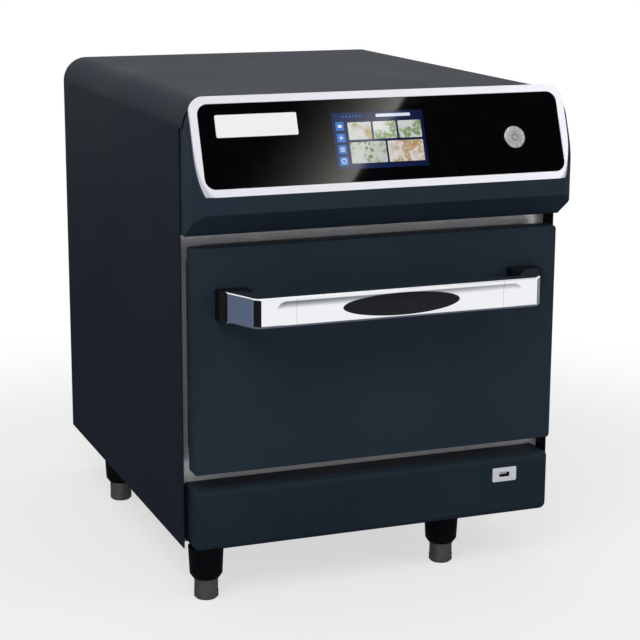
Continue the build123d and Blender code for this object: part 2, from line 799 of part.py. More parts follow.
rotor_front = fan_front + 3.6
with BuildPart() as fan_rotor:
    rod((fan_x, rotor_front + 18, fan_z), (0, -1, 0), 15, 18)
    with BuildSketch(front_plane(rotor_front + 17)):
        with Locations((fan_x, fan_z)):
            with PolarLocations((fan_radius + 12) / 2, 7):
                Rectangle(fan_radius - 15.5, 12, rotation=12)
    extrude(amount=2.4)
    rod((fan_x, fan_front + 14, fan_z), (0, -1, 0), shaft_radius + shaft_fit, 16, Mode.SUBTRACT)
save(fan_rotor.part, "fan_rotor")

guard_wire = 1.2
guard_plane_depth = back + fan_guard_proud - guard_wire
with BuildPart() as fan_guard:
    for ring in range(4):
        ring_radius = 10.0 + ring * 10.5
        with BuildSketch(Plane(
            origin=(fan_x + ring_radius, at(guard_plane_depth), fan_z), z_dir=(0, 0, 1)
        )):
            Circle(guard_wire)
        revolve(axis=Axis((fan_x, at(guard_plane_depth), fan_z), (0, 1, 0)), revolution_arc=360)
    for angle in (45, 135, 225, 315):
        way = (math.cos(math.radians(angle)), 0, math.sin(math.radians(angle)))
        rod((fan_x, guard_plane_depth - 0.9, fan_z), way, guard_wire - 0.1, 46)
        tip = (fan_x + 46 * way[0], back, fan_z + 46 * way[2])
        rod(tip, (0, 1, 0), 2.4, fan_guard_proud - guard_wire)
save(fan_guard.part, "fan_guard")

# The exhaust cleaner above the cavity and its duct to the rear grille
cleaner_low = wool_high
cleaner_high = cleaner_low + 40.0
cleaner_depths = (200.0, 290.0)
with BuildPart() as exhaust_cleaner:
    block((-70, 70), cleaner_depths, (cleaner_low, cleaner_high))
    with BuildSketch(Plane.XY.offset(cleaner_high)):
        with Locations((0, at(sum(cleaner_depths) / 2))):
            with GridLocations(12, 12, 10, 6):
                Rectangle(9, 9)
    extrude(amount=-6, mode=Mode.SUBTRACT)
save(exhaust_cleaner.part, "exhaust_cleaner")

duct_height = 44.0
duct_low = exhaust_z - duct_height / 2
duct_front = cleaner_depths[1] + 2.0
with BuildPart() as exhaust_duct:
    block((-130, 130), (duct_front, rear_depth), (duct_low, duct_low + duct_height))
    offset(amount=-sheet, openings=exhaust_duct.faces().filter_by(Axis.Y))
    block((-8, 8), (duct_front, duct_front + 10), (cleaner_low, duct_low + 1))
save(exhaust_duct.part, "exhaust_duct")

# Switches that the door's hooks press, on the back of the front frame
switch_near = latch_x + latch_thickness / 2 + 3.0
switch_thickness = 14.0
switch_length = 30.0
with BuildPart() as door_switches:
    for side in (-1, 1):
        body = sorted((side * switch_near, side * (switch_near + switch_thickness)))
        block(body, (frame_back, frame_back + switch_length), (latch_z - 14, latch_z + 14))
save(door_switches.part, "door_switches")

# The hinge arms: a foot on the back of the front frame and an ear round each hinge pin
arm_near = hinge_arm_x - hinge_arm_thickness / 2
arm_far = hinge_arm_x + hinge_arm_thickness / 2
with BuildPart() as hinge_arms:
    for side in (-1, 1):
        ear = sorted((side * arm_near, side * arm_far))
        block(ear, (hinge_inset, frame_back + 2), (hinge_z - hinge_arm_half, hinge_z + hinge_arm_half))
        rod((ear[0], hinge_inset, hinge_z), (1, 0, 0), hinge_arm_half, hinge_arm_thickness)
        foot = sorted((side * (arm_near - 8), side * (arm_far + 8)))
        block(foot, (frame_back, frame_back + 2), (hinge_z - 22, hinge_z + 2))
        rod(
            (ear[0], hinge_inset, hinge_z), (1, 0, 0), hinge_pin_radius + hinge_fit,
            hinge_arm_thickness, Mode.SUBTRACT,
        )
save(hinge_arms.part, "hinge_arms")

# The door's painted outer panel: a tray with turned-back edges, notched for the hinge arms
notch_half = hinge_arm_thickness / 2 + 1.0
with BuildPart() as door_outer_panel:
    with BuildSketch(front_plane(door_return)) as door_face:
        with Locations((0, (door_bottom + door_top) / 2)):
            RectangleRounded(door_width, door_height, door_corner_radius)
    extrude(amount=door_return)
    fillet(door_outer_panel.faces().sort_by(Axis.Y)[0].edges(), 1.2)
    with BuildSketch(front_plane(door_return)):
        with Locations((0, (door_bottom + door_top) / 2)):
            RectangleRounded(
                door_width - 2 * door_skin, door_height - 2 * door_skin,
                door_corner_radius - door_skin,
            )
    extrude(amount=door_return - door_skin, mode=Mode.SUBTRACT)
    for side in (-1, 1):
        notch = (side * hinge_arm_x - notch_half, side * hinge_arm_x + notch_half)
        block(notch, (hinge_inset - 9, door_return), (door_bottom, door_bottom + 3), Mode.SUBTRACT)
    with BuildSketch(front_plane(door_skin)):
        with Locations((0, door_top - handle_drop - handle_height / 2)):
            with GridLocations(2 * (handle_foot_half_width - 12), 18, 2, 2):
                Circle(2.5)
    extrude(amount=door_skin, mode=Mode.SUBTRACT)
save(door_outer_panel.part, "door_outer_panel")

# The door's black inner pan, drawn in from the outer panel, with large rounded corners
pan_inset = 5.0
pan_wall = 1.2
pan_radius = 22.0
pan_low = door_bottom + 3.0
pan_high = door_top - 3.0
with BuildPart() as door_inner_pan:
    with BuildSketch(front_plane(door_thickness)):
        with Locations((0, (pan_low + pan_high) / 2)):
            RectangleRounded(door_width - 2 * pan_inset, pan_high - pan_low, pan_radius)
    extrude(amount=door_thickness - door_skin)
    offset(amount=-pan_wall, openings=door_inner_pan.faces().sort_by(Axis.Y)[0])
    for side in (-1, 1):
        notch = (side * hinge_arm_x - notch_half, side * hinge_arm_x + notch_half)
        block(
            notch, (hinge_inset - 9, door_thickness), (pan_low - 1, hinge_z + hinge_arm_half + 2.5),
            Mode.SUBTRACT,
        )
save(door_inner_pan.part, "door_inner_pan")

# The plug that fills the cavity's mouth, stainless, with the seal round it
plug_half = cavity_half - plug_gap
plug_low = cavity_low + plug_gap + 2
plug_high = cavity_high - plug_gap - 2
with BuildPart() as door_plug:
    with BuildSketch(front_plane(door_thickness + plug_depth)):
        with Locations((0, (plug_low + plug_high) / 2)):
            RectangleRounded(2 * plug_half, plug_high - plug_low, 12)
    extrude(amount=plug_depth)
    fillet(door_plug.faces().sort_by(Axis.Y)[-1].edges(), 4)
    offset(amount=-pan_wall, openings=door_plug.faces().sort_by(Axis.Y)[0])
save(door_plug.part, "door_plug")

seal_thickness = frame_setback - door_thickness - seat_gap
with BuildPart() as door_seal:
    with BuildSketch(front_plane(door_thickness + seal_thickness)):
        with Locations((0, (plug_low + plug_high) / 2)):
            RectangleRounded(2 * cavity_half + 24, plug_high - plug_low + 38, 18)
            RectangleRounded(2 * cavity_half + 8, plug_high - plug_low + 22, 12, mode=Mode.SUBTRACT)
    extrude(amount=seal_thickness)
save(door_seal.part, "door_seal")

# Inside the door: the microwave choke comb and the insulation slab
choke_low = 30.0
with BuildPart() as door_choke:
    with BuildSketch(front_plane(door_thickness - pan_wall)):
        with Locations((0, (plug_low + plug_high) / 2)):
            RectangleRounded(2 * cavity_half + 16, plug_high - plug_low + 32, 14)
            RectangleRounded(2 * cavity_half + 12, plug_high - plug_low + 28, 12, mode=Mode.SUBTRACT)
    extrude(amount=12)
    with BuildSketch(Plane.XY.offset(plug_low - 20)):
        with Locations((0, at(choke_low))):
            with GridLocations(20, 0, 14, 1):
                Rectangle(4, 9)
    extrude(amount=plug_high - plug_low + 40, mode=Mode.SUBTRACT)
save(door_choke.part, "door_choke")

with BuildPart() as door_insulation:
    block(
        (-plug_half, plug_half), (door_skin, door_thickness - pan_wall),
        (plug_low + 2, plug_high - 2),
    )
save(door_insulation.part, "door_insulation")

# Hinge works that ride with the door: pins, bearing cheeks and closing springs
pin_near = hinge_arm_x - 22.0
pin_far = hinge_arm_x + 9.0
with BuildPart() as hinge_pins:
    for side in (-1, 1):
        start = min(side * pin_near, side * pin_far)
        rod((start, hinge_inset, hinge_z), (1, 0, 0), hinge_pin_radius, pin_far - pin_near)
save(hinge_pins.part, "hinge_pins")

cheek_gap = 0.5
with BuildPart() as hinge_cheeks:
    for side in (-1, 1):
        inner = sorted((side * (arm_near - cheek_gap - 5), side * (arm_near - cheek_gap)))
        outer = sorted((side * (arm_far + cheek_gap), side * (arm_far + cheek_gap + 5)))
        for cheek in (inner, outer):
            block(cheek, (door_skin, door_skin + 20), (pan_low + pan_wall, hinge_z + 12))
            rod((cheek[0], hinge_inset, hinge_z), (1, 0, 0), hinge_pin_radius, 5, Mode.SUBTRACT)
save(hinge_cheeks.part, "hinge_cheeks")

spring_wire = 0.8
spring_turns = 5
spring_pitch = 2.4
spring_radius = hinge_pin_radius + seat_gap + spring_wire
spring_start = arm_near - cheek_gap - 5 - spring_wire - 0.1
with BuildPart() as hinge_springs:
    for side in (-1, 1):
        seat = (side * spring_start, at(hinge_inset), hinge_z)
        with BuildLine() as coil:
            Helix(
                spring_pitch, spring_pitch * spring_turns, spring_radius,
                center=seat, direction=(-side, 0, 0),
            )
        with BuildSketch(Plane(origin=coil.line @ 0, z_dir=coil.line % 0)):
            Circle(spring_wire)
        sweep(path=coil.line)
save(hinge_springs.part, "hinge_springs")

# Latch hooks that reach through the frame to the switches
with BuildPart() as latch_hooks:
    for side in (-1, 1):
        hook = (side * latch_x - latch_thickness / 2, side * latch_x + latch_thickness / 2)
        block(
            hook, (door_thickness, door_thickness + latch_reach),
            (latch_z - latch_half, latch_z + latch_half),
        )
        block(
            hook, (door_thickness + latch_reach - 6, door_thickness + latch_reach),
            (latch_z - latch_half - 3, latch_z),
        )
save(latch_hooks.part, "latch_hooks")

# The handle: black feet, bright ends that lean inwards, a bright bar and a black oval inlay
handle_high = door_top - handle_drop
handle_low = handle_high - handle_height
bar_back = handle_bar_depth - handle_reach
arm_root = -handle_block_depth
with BuildPart() as handle_feet:
    for side in (-1, 1):
        foot = sorted((side * (handle_foot_half_width + 2), side * (handle_foot_half_width - 34)))
        block(foot, (arm_root, 0), (handle_low, handle_high))
        with BuildSketch(front_plane(0)):
            with Locations((side * (handle_foot_half_width - 12), (handle_low + handle_high) / 2)):
                with GridLocations(0, 18, 1, 2):
                    Circle(2.5)
        extrude(amount=10, mode=Mode.SUBTRACT)
    fillet(handle_feet.edges().filter_by(Axis.Y), 1.5)
save(handle_feet.part, "handle_feet")

with BuildPart() as handle_ends:
    for side in (-1, 1):
        with BuildSketch(Plane.XY.offset(handle_low)) as end_plan:
            with BuildLine():
                Polyline(
                    (side * handle_seam_x, at(-handle_reach)),
                    (side * (handle_half_width - 5), at(-handle_reach)),
                    (side * handle_half_width, at(-handle_reach + 5)),
                    (side * handle_foot_half_width, at(arm_root)),
                    (side * (handle_foot_half_width - 26), at(arm_root)),
                    (side * (handle_half_width - 16), at(bar_back)),
                    (side * handle_seam_x, at(bar_back)),
                    close=True,
                )
            make_face()
        extrude(amount=handle_height)
    fillet(handle_ends.edges().group_by(Axis.Z)[-1], 1.5)
    fillet(handle_ends.edges().group_by(Axis.Z)[0], 1.5)
save(handle_ends.part, "handle_ends")

groove_radius = 30.0
groove_depth = 2.2
inlay_fit = 0.03
handle_mid = (handle_low + handle_high) / 2
with BuildPart() as handle_bar:
    block((-handle_seam_x, handle_seam_x), (-handle_reach, bar_back), (handle_low, handle_high))
    fillet(handle_bar.edges().filter_by(Axis.X), 1.5)
    rod(
        (-handle_seam_x, -handle_reach - groove_radius + groove_depth, handle_mid), (1, 0, 0),
        groove_radius, 2 * handle_seam_x, Mode.SUBTRACT,
    )
save(handle_bar.part, "handle_bar")

with BuildPart() as handle_inlay:
    with BuildSketch(front_plane(-handle_reach + groove_depth)):
        with Locations((0, handle_mid)):
            Ellipse(insert_half_width, insert_half_height)
    extrude(amount=3)
    rod(
        (-handle_seam_x, -handle_reach - groove_radius + groove_depth, handle_mid), (1, 0, 0),
        groove_radius - 1.0, 2 * handle_seam_x, Mode.SUBTRACT,
    )
    rod(
        (-handle_seam_x, -handle_reach - groove_radius + groove_depth, handle_mid), (1, 0, 0),
        groove_radius - inlay_fit, 2 * handle_seam_x, Mode.INTERSECT,
    )
save(handle_inlay.part, "handle_inlay")

with BuildPart() as handle_screws:
    for side in (-1, 1):
        for step in (-9, 9):
            spot = side * (handle_foot_half_width - 12)
            rod((spot, door_skin, handle_mid + step), (0, -1, 0), 2.5, door_skin + 9.5)
            rod((spot, door_skin, handle_mid + step), (0, 1, 0), 4.5, 3.2)
save(handle_screws.part, "handle_screws")

# The legs: a tapered black cup screwed to the pan, and a steel foot on a stem in each cup
legs = (
    ("front_left", leg_front_left), ("front_right", leg_front_right),
    ("rear_left", leg_rear_left), ("rear_right", leg_rear_right),
)
cup_low = base - cup_height
stem_top = cup_low + foot_travel + 13.0
with BuildPart() as leg_cups:
    for name, spot in legs:
        with Locations((spot[0], at(spot[1]), cup_low)):
            Cone(
                cup_radius - 5.0, cup_radius - 1.6, 5.0,
                align=(Align.CENTER, Align.CENTER, Align.MIN),
            )
        with Locations((spot[0], at(spot[1]), cup_low + 5.0)):
            Cone(
                cup_radius - 1.6, cup_radius, cup_height - 5.0,
                align=(Align.CENTER, Align.CENTER, Align.MIN),
            )
        rod(
            (spot[0], spot[1], cup_low), (0, 0, 1), foot_stem_radius + foot_stem_fit,
            stem_top - cup_low + 1, Mode.SUBTRACT,
        )
save(leg_cups.part, "leg_cups")

ring_z = 9.0
for name, spot in legs:
    with BuildPart() as foot:
        rod((spot[0], spot[1], 0), (0, 0, 1), foot_radius, cup_low - seat_gap)
        chamfer(foot.edges().filter_by(GeomType.CIRCLE).group_by(Axis.Z)[0], 2.0)
        with BuildSketch(Plane.XY.offset(ring_z + 1.5)):
            with Locations((spot[0], at(spot[1]))):
                Circle(foot_radius + 1)
                RegularPolygon(foot_radius - 0.6, 8, major_radius=False, mode=Mode.SUBTRACT)
        extrude(amount=cup_low, mode=Mode.SUBTRACT)
        with BuildSketch(Plane.XY.offset(ring_z)):
            with Locations((spot[0], at(spot[1]))):
                Circle(foot_radius + 1)
                Circle(foot_radius - 0.8, mode=Mode.SUBTRACT)
        extrude(amount=1.5, mode=Mode.SUBTRACT)
        rod((spot[0], spot[1], cup_low - 1), (0, 0, 1), foot_stem_radius, stem_top - cup_low + 1)
    save(foot.part, f"foot_{name}")

# Screws that show: round the rear panel's edge
screw_head = 4.0
screw_inset = 9.0
screw_rows = 4
screw_start = 20.0
screw_pitch = 143.0
top_screw_inset = 80.0
with BuildPart() as rear_screws:
    with BuildSketch(front_plane(back)):
        for side in (-1, 1):
            for row in range(screw_rows):
                with Locations((side * (pan_half - screw_inset), base + screw_start + screw_pitch * row)):
                    Circle(screw_head)
            with Locations((side * (pan_half - top_screw_inset), rear_high - screw_inset)):
                Circle(screw_head)
    extrude(amount=-1.8)
save(rear_screws.part, "rear_screws")
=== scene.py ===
"""A counter-top high-speed oven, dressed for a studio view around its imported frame."""
import logging
import math
from dataclasses import dataclass, field
from enum import Enum
from typing import Callable, Iterable, Sequence

import bmesh
import bpy
import numpy as np
from mathutils import Matrix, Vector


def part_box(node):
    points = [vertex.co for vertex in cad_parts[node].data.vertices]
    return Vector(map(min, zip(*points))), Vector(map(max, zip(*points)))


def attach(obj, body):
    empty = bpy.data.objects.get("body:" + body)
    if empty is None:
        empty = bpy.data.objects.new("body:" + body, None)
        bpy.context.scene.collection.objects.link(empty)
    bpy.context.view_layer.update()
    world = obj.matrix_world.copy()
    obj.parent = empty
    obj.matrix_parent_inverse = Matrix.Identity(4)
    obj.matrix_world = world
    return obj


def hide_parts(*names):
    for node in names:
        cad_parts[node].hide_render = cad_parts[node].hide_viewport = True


LOG = logging.getLogger("oven")
MM = 0.001

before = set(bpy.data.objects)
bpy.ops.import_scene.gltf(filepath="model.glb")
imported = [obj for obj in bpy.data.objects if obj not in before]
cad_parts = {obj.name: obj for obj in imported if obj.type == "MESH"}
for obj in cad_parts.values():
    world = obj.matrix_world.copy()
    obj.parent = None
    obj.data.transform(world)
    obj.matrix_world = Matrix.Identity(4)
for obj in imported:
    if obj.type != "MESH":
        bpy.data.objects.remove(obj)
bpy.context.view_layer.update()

Colour = tuple[float, float, float]

BLACK: Colour = (0.0, 0.0, 0.0)
OVEN_MIDDLE = (0.0, 0.0, 0.3)
GLASS_LEVEL = 0.3
SHARP_ANGLE = math.radians(30)


def lowest(node: str) -> np.ndarray:
    """Give the lowest corner of a frame node, in metres."""
    return np.array(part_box(node)[0])


def highest(node: str) -> np.ndarray:
    """Give the highest corner of a frame node, in metres."""
    return np.array(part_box(node)[1])


def middle(node: str) -> np.ndarray:
    """Give the middle of a frame node's box, in metres."""
    return (lowest(node) + highest(node)) / 2


class Axis(Enum):
    """A direction along the oven's own frame: across, from front to back, or up."""

    ACROSS = 0
    BACK = 1
    UP = 2


class Body(Enum):
    """The rigid bodies that pieces ride on."""

    CABINET = "cabinet"
    DOOR = "door"
    BUTTON = "button"


# Node maths

class Sock:
    """A shader value that takes part in Python arithmetic; each operator adds one Math node."""

    def __init__(self, kit: "NodeKit", socket: bpy.types.NodeSocket) -> None:
        """Keep the node kit and the output socket that holds the value."""
        self.kit = kit
        self.socket = socket

    def __add__(self, other: "Value") -> "Sock":
        """Give the sum."""
        return self.kit.math("ADD", self, other)

    __radd__ = __add__

    def __sub__(self, other: "Value") -> "Sock":
        """Give the difference."""
        return self.kit.math("SUBTRACT", self, other)

    def __rsub__(self, other: "Value") -> "Sock":
        """Give the difference the other way round."""
        return self.kit.math("SUBTRACT", other, self)

    def __mul__(self, other: "Value") -> "Sock":
        """Give the product."""
        return self.kit.math("MULTIPLY", self, other)

    __rmul__ = __mul__

    def __truediv__(self, other: "Value") -> "Sock":
        """Give the quotient."""
        return self.kit.math("DIVIDE", self, other)

    def __pow__(self, other: "Value") -> "Sock":
        """Give the power."""
        return self.kit.math("POWER", self, other)

    def sine(self) -> "Sock":
        """Give the sine of the value in radians."""
        return self.kit.math("SINE", self)

    def eased(self, low: float, high: float) -> "Sock":
        """Give a smooth step.

        Args:
            low: the value at which the step starts from 0.
            high: the value at which it reaches 1.

        Returns:
            The value mapped from low..high to 0..1 along a smooth S curve.
        """
        settings = {"interpolation_type": "SMOOTHSTEP"}
        links = {"Value": self, "From Min": low, "From Max": high}
        return self.kit.node("ShaderNodeMapRange", settings, links, "Result")


Value = Sock | float


class NodeKit:
    """The node tree of one material, written through short calls."""

    def __init__(self, name: str) -> None:
        """Make an empty material with a Principled shader that is ready to be fed.

        Args:
            name: the material's name.
        """
        self.material = bpy.data.materials.new(name)
        self.material.use_nodes = True
        self.tree = self.material.node_tree
        self.tree.nodes.clear()
        self.output = self.tree.nodes.new("ShaderNodeOutputMaterial")
        self.shader = self.tree.nodes.new("ShaderNodeBsdfPrincipled")
        self.tree.links.new(self.shader.outputs["BSDF"], self.output.inputs["Surface"])

    def feed(self, socket: bpy.types.NodeSocket, value: "Value | Sequence[float]") -> None:
        """Link a value to a socket, or set a constant on it.

        Args:
            socket: the input that takes the value.
            value: a wrapped socket, a number, or a colour or vector.
        """
        if isinstance(value, Sock):
            self.tree.links.new(value.socket, socket)
        elif isinstance(value, (int, float)):
            socket.default_value = value
        else:
            socket.default_value = (*value, 1.0)[:len(socket.default_value)]

    def node(self, kind: str, settings: dict, values: dict, out: str | int = 0) -> Sock:
        """Add one node.

        Args:
            kind: the node's type.
            settings: attributes that are set before anything is linked.
            values: inputs by name or number, each a constant or a wrapped socket.
            out: the output that is wanted, by name or number.

        Returns:
            The wrapped output.
        """
        made = self.tree.nodes.new(kind)
        for key, setting in settings.items():
            if key == "stops":
                self.set_stops(made.color_ramp, setting)
            else:
                setattr(made, key, setting)
        for key, value in values.items():
            self.feed(made.inputs[key], value)
        return Sock(self, made.outputs[out])

    @staticmethod
    def set_stops(ramp: bpy.types.ColorRamp, stops: Sequence[tuple[float, Colour]]) -> None:
        """Write a ramp's stops, each a place from 0 to 1 and a colour.

        Args:
            ramp: the colour ramp.
            stops: each stop as a place from 0 to 1 and a colour.
        """
        while len(ramp.elements) < len(stops):
            ramp.elements.new(0.5)
        for element, (place, colour) in zip(ramp.elements, stops):
            element.position = place
            element.color = (*colour, 1.0)

    def math(self, operation: str, first: Value, second: Value = 0.0) -> Sock:
        """Add a Math node of the given operation."""
        return self.node("ShaderNodeMath", {"operation": operation}, {0: first, 1: second})

    def place(self) -> Sock:
        """Give the point on the surface in the oven's own frame."""
        return self.node("ShaderNodeTexCoord", {}, {}, "Object")

    def altered(self, operation: str, vector: Sequence[float]) -> Sock:
        """Give the surface point after a Vector Math operation with a constant vector."""
        values = {0: self.place(), 1: vector}
        return self.node("ShaderNodeVectorMath", {"operation": operation}, values)

    def moved(self, centre: Sequence[float], turn: Sequence[float] = (0.0, 0.0, 0.0)) -> Sock:
        """Give the surface point seen from a local frame.

        Args:
            centre: the local frame's origin, in metres.
            turn: the local frame's Euler turn, in radians.

        Returns:
            The point taken into the local frame: subtract the centre, then undo the turn.
        """
        values = {"Vector": self.altered("SUBTRACT", centre), "Rotation": turn}
        return self.node("ShaderNodeMapping", {"vector_type": "TEXTURE"}, values)

    def stretched(self, scale: Sequence[float]) -> Sock:
        """Give the surface point with each axis scaled on its own."""
        return self.altered("MULTIPLY", scale)

    def parts(self, vector: Sock) -> tuple[Sock, Sock, Sock]:
        """Split a vector into its three numbers.

        Args:
            vector: the vector to split.

        Returns:
            The sockets of X, Y and Z.
        """
        split = self.tree.nodes.new("ShaderNodeSeparateXYZ")
        self.feed(split.inputs[0], vector)
        return tuple(Sock(self, output) for output in split.outputs)

    def noise(self, scale: float, detail: float = 2.0, vector: Sock | None = None) -> Sock:
        """Give a fractal noise of about 0 to 1.

        Args:
            scale: cells in one unit of the vector.
            detail: how many finer octaves are added.
            vector: where it is read; the surface point if none is given.

        Returns:
            The noise value.
        """
        values = {"Vector": vector or self.place(), "Scale": scale, "Detail": detail}
        return self.node("ShaderNodeTexNoise", {}, values, 0)

    def cells(self, scale: float) -> Sock:
        """Give a Voronoi pattern's distance from the nearest cell point."""
        values = {"Vector": self.place(), "Scale": scale}
        return self.node("ShaderNodeTexVoronoi", {}, values, "Distance")

    def blend(self, factor: Value, first: "Sock | Colour", second: "Sock | Colour") -> Sock:
        """Mix two colours: the first at factor 0, the second at 1."""
        values = {0: factor, 6: first, 7: second}
        return self.node("ShaderNodeMix", {"data_type": "RGBA"}, values, 2)

    def ramp(self, value: Sock, stops: Sequence[tuple[float, Colour]]) -> Sock:
        """Turn a number into a colour by stops."""
        return self.node("ShaderNodeValToRGB", {"stops": stops}, {0: value}, "Color")

    def bump(self, height: Sock, depth: float) -> Sock:
        """Turn a height from 0 to 1 into a normal, where 1 stands a depth in metres proud."""
        values = {"Height": height, "Distance": depth, "Strength": 1.0}
        return self.node("ShaderNodeBump", {}, values, "Normal")

    def paint(self, **inputs: "Value | Sequence[float]") -> bpy.types.Material:
        """Feed the shader's inputs, named with underscores for spaces, and give the material.

        Args:
            inputs: each input's value: a wrapped socket, a number, or a colour.

        Returns:
            The material.
        """
        for key, value in inputs.items():
            self.feed(self.shader.inputs[key.replace("_", " ")], value)
        return self.material

    def lit(self, colour: Sock, cloud: Sock, glow: float) -> bpy.types.Material:
        """Give the material of a lit display: a glow under polished glass.

        Args:
            colour: the colour of the light; a quarter of it is the paint as well.
            cloud: noise that makes the gloss uneven.
            glow: the light's strength.

        Returns:
            The material.
        """
        return self.paint(
            Base_Color=self.blend(0.75, colour, BLACK), Emission_Color=colour,
            Emission_Strength=glow, Roughness=cloud * 0.04 + 0.03, Specular_IOR_Level=GLASS_LEVEL,
        )


# Finishes

@dataclass(frozen=True)
class Finish:
    """What every finish has: a name, the record's slot, and a base colour in linear light."""

    name: str
    slot: str
    colour: Colour

    def build(self) -> bpy.types.Material:
        """Make the finish's material."""
        raise NotImplementedError

    def material(self) -> bpy.types.Material:
        """Give the finish's material, made once."""
        return bpy.data.materials.get(self.name) or self.build()

    def shade(self, factor: float) -> Colour:
        """Give the base colour made lighter or darker by a factor."""
        return tuple(min(1.0, part * factor) for part in self.colour)


@dataclass(frozen=True)
class PowderCoat(Finish):
    """Baked paint with a fine grain, a slow drift of tone and a little handling gloss."""

    roughness: float = 0.5
    sheen_level: float = 0.1
    grain: float = 1500.0
    relief: float = 0.00006
    drift_scale: float = 8.0

    def build(self) -> bpy.types.Material:
        """Grain is noise at about 0.7 mm; tone and gloss drift over some 12 cm.

        Returns:
            The material, ready to be put on a piece.
        """
        kit = NodeKit(self.name)
        drift = kit.noise(self.drift_scale, 3.0)
        speck = kit.noise(self.grain, 2.0)
        pits = kit.cells(self.grain * 0.6)
        tone = (drift * 0.6 + speck * 0.4).eased(0.3, 0.7)
        return kit.paint(
            Base_Color=kit.blend(tone, self.shade(0.88), self.shade(1.13)),
            Roughness=(drift - 0.5) * 0.16 + (speck - 0.5) * 0.1 + self.roughness,
            Specular_IOR_Level=self.sheen_level,
            Normal=kit.bump(speck * 0.7 + pits * 0.3, self.relief),
        )


@dataclass(frozen=True)
class BrushedMetal(Finish):
    """Metal with straight grinding lines along one direction."""

    along: Axis = Axis.ACROSS
    roughness: float = 0.3
    line_scale: float = 4200.0
    relief: float = 0.000003
    smear: float = 0.03
    metal: float = 1.0
    stretch: float = 160.0
    cloud_scale: float = 22.0

    def build(self) -> bpy.types.Material:
        """The lines are noise squeezed across the brushing direction, over slow cloudy smears.

        Returns:
            The material, ready to be put on a piece.
        """
        kit = NodeKit(self.name)
        squeeze = [self.line_scale] * 3
        squeeze[self.along.value] = self.line_scale / self.stretch
        lines = kit.noise(1.0, 2.0, kit.stretched(squeeze))
        clouds = kit.noise(self.cloud_scale, 4.0)
        return kit.paint(
            Base_Color=kit.blend(lines * 0.7 + clouds * 0.3, self.shade(0.93), self.shade(1.06)),
            Metallic=self.metal,
            Roughness=(lines - 0.5) * 0.1 + (clouds - 0.5) * self.smear * 2 + self.roughness,
            Normal=kit.bump(lines, self.relief),
        )


@dataclass(frozen=True)
class TurnedMetal(Finish):
    """Metal turned on a lathe: fine rings round an upright axis, with dull staining."""

    roughness: float = 0.36
    ring_pitch: float = 0.0006
    stain: float = 0.35
    relief: float = 0.00003
    wobble_scale: float = 60.0
    stain_scale: float = 150.0

    def build(self) -> bpy.types.Material:
        """Ring height is a sine of height over the pitch, broken up by a slow noise.

        Returns:
            The material, ready to be put on a piece.
        """
        kit = NodeKit(self.name)
        up = kit.parts(kit.place())[2]
        wobble = kit.noise(self.wobble_scale, 3.0)
        rings = (up * (math.tau / self.ring_pitch) + wobble * 5.0).sine() * 0.5 + 0.5
        stains = kit.noise(self.stain_scale, 4.0).eased(0.35, 0.75)
        return kit.paint(
            Base_Color=kit.blend(stains * self.stain, self.shade(1.15), self.shade(0.45)),
            Metallic=1.0,
            Roughness=stains * 0.2 + rings * 0.06 + self.roughness,
            Normal=kit.bump(rings, self.relief),
        )


@dataclass(frozen=True)
class DiscMetal(Finish):
    """Metal with rings round a tilted axis, as on a pressed button's face."""

    centre: tuple[float, float, float] = (0.0, 0.0, 0.0)
    tilt: float = 0.0
    roughness: float = 0.26
    ring_pitch: float = 0.0005
    relief: float = 0.00001
    cloud_scale: float = 260.0

    def build(self) -> bpy.types.Material:
        """The distance from the axis, by Pythagoras in the disc's plane, drives a sine.

        Returns:
            The material, ready to be put on a piece.
        """
        kit = NodeKit(self.name)
        across, up, _ = kit.parts(kit.moved(self.centre, (self.tilt, 0.0, 0.0)))
        reach = (across * across + up * up) ** 0.5
        rings = (reach * (math.tau / self.ring_pitch)).sine() * 0.5 + 0.5
        cloud = kit.noise(self.cloud_scale, 3.0)
        return kit.paint(
            Base_Color=kit.blend(rings * 0.5 + cloud * 0.5, self.shade(0.8), self.shade(1.15)),
            Metallic=1.0,
            Roughness=rings * 0.12 + cloud * 0.08 + self.roughness - 0.1,
            Normal=kit.bump(rings, self.relief),
        )


@dataclass(frozen=True)
class BrightPlate(Finish):
    """Mirror plating with the faint haze and wipe marks of use."""

    roughness: float = 0.045
    relief: float = 0.0000025
    haze_scale: float = 35.0
    wipe_scale: tuple[float, float, float] = (30.0, 900.0, 900.0)

    def build(self) -> bpy.types.Material:
        """Haze is slow noise in the roughness; wipe marks run across the oven.

        Returns:
            The material, ready to be put on a piece.
        """
        kit = NodeKit(self.name)
        haze = kit.noise(self.haze_scale, 4.0).eased(0.45, 0.8)
        wipes = kit.noise(1.0, 2.0, kit.stretched(self.wipe_scale))
        return kit.paint(
            Base_Color=kit.blend(haze, self.colour, self.shade(0.94)),
            Metallic=1.0,
            Roughness=haze * 0.05 + wipes * 0.03 + self.roughness,
            Normal=kit.bump(wipes, self.relief),
        )


@dataclass(frozen=True)
class DarkGlass(Finish):
    """Back-painted glass: nearly black under a polished face with finger haze and dust."""

    roughness: float = 0.03
    haze_scale: float = 45.0
    dust_scale: float = 900.0

    def build(self) -> bpy.types.Material:
        """Patchy noise is the haze and the cell points are the dust; both lift the roughness.

        Returns:
            The material, ready to be put on a piece.
        """
        kit = NodeKit(self.name)
        haze = kit.noise(self.haze_scale, 5.0).eased(0.5, 0.85)
        dust = (kit.cells(self.dust_scale) * -1.0 + 0.06).eased(0.0, 0.05)
        return kit.paint(
            Base_Color=kit.blend(haze, self.colour, self.shade(1.6)),
            Roughness=haze * 0.05 + dust * 0.1 + self.roughness,
            Specular_IOR_Level=GLASS_LEVEL,
        )


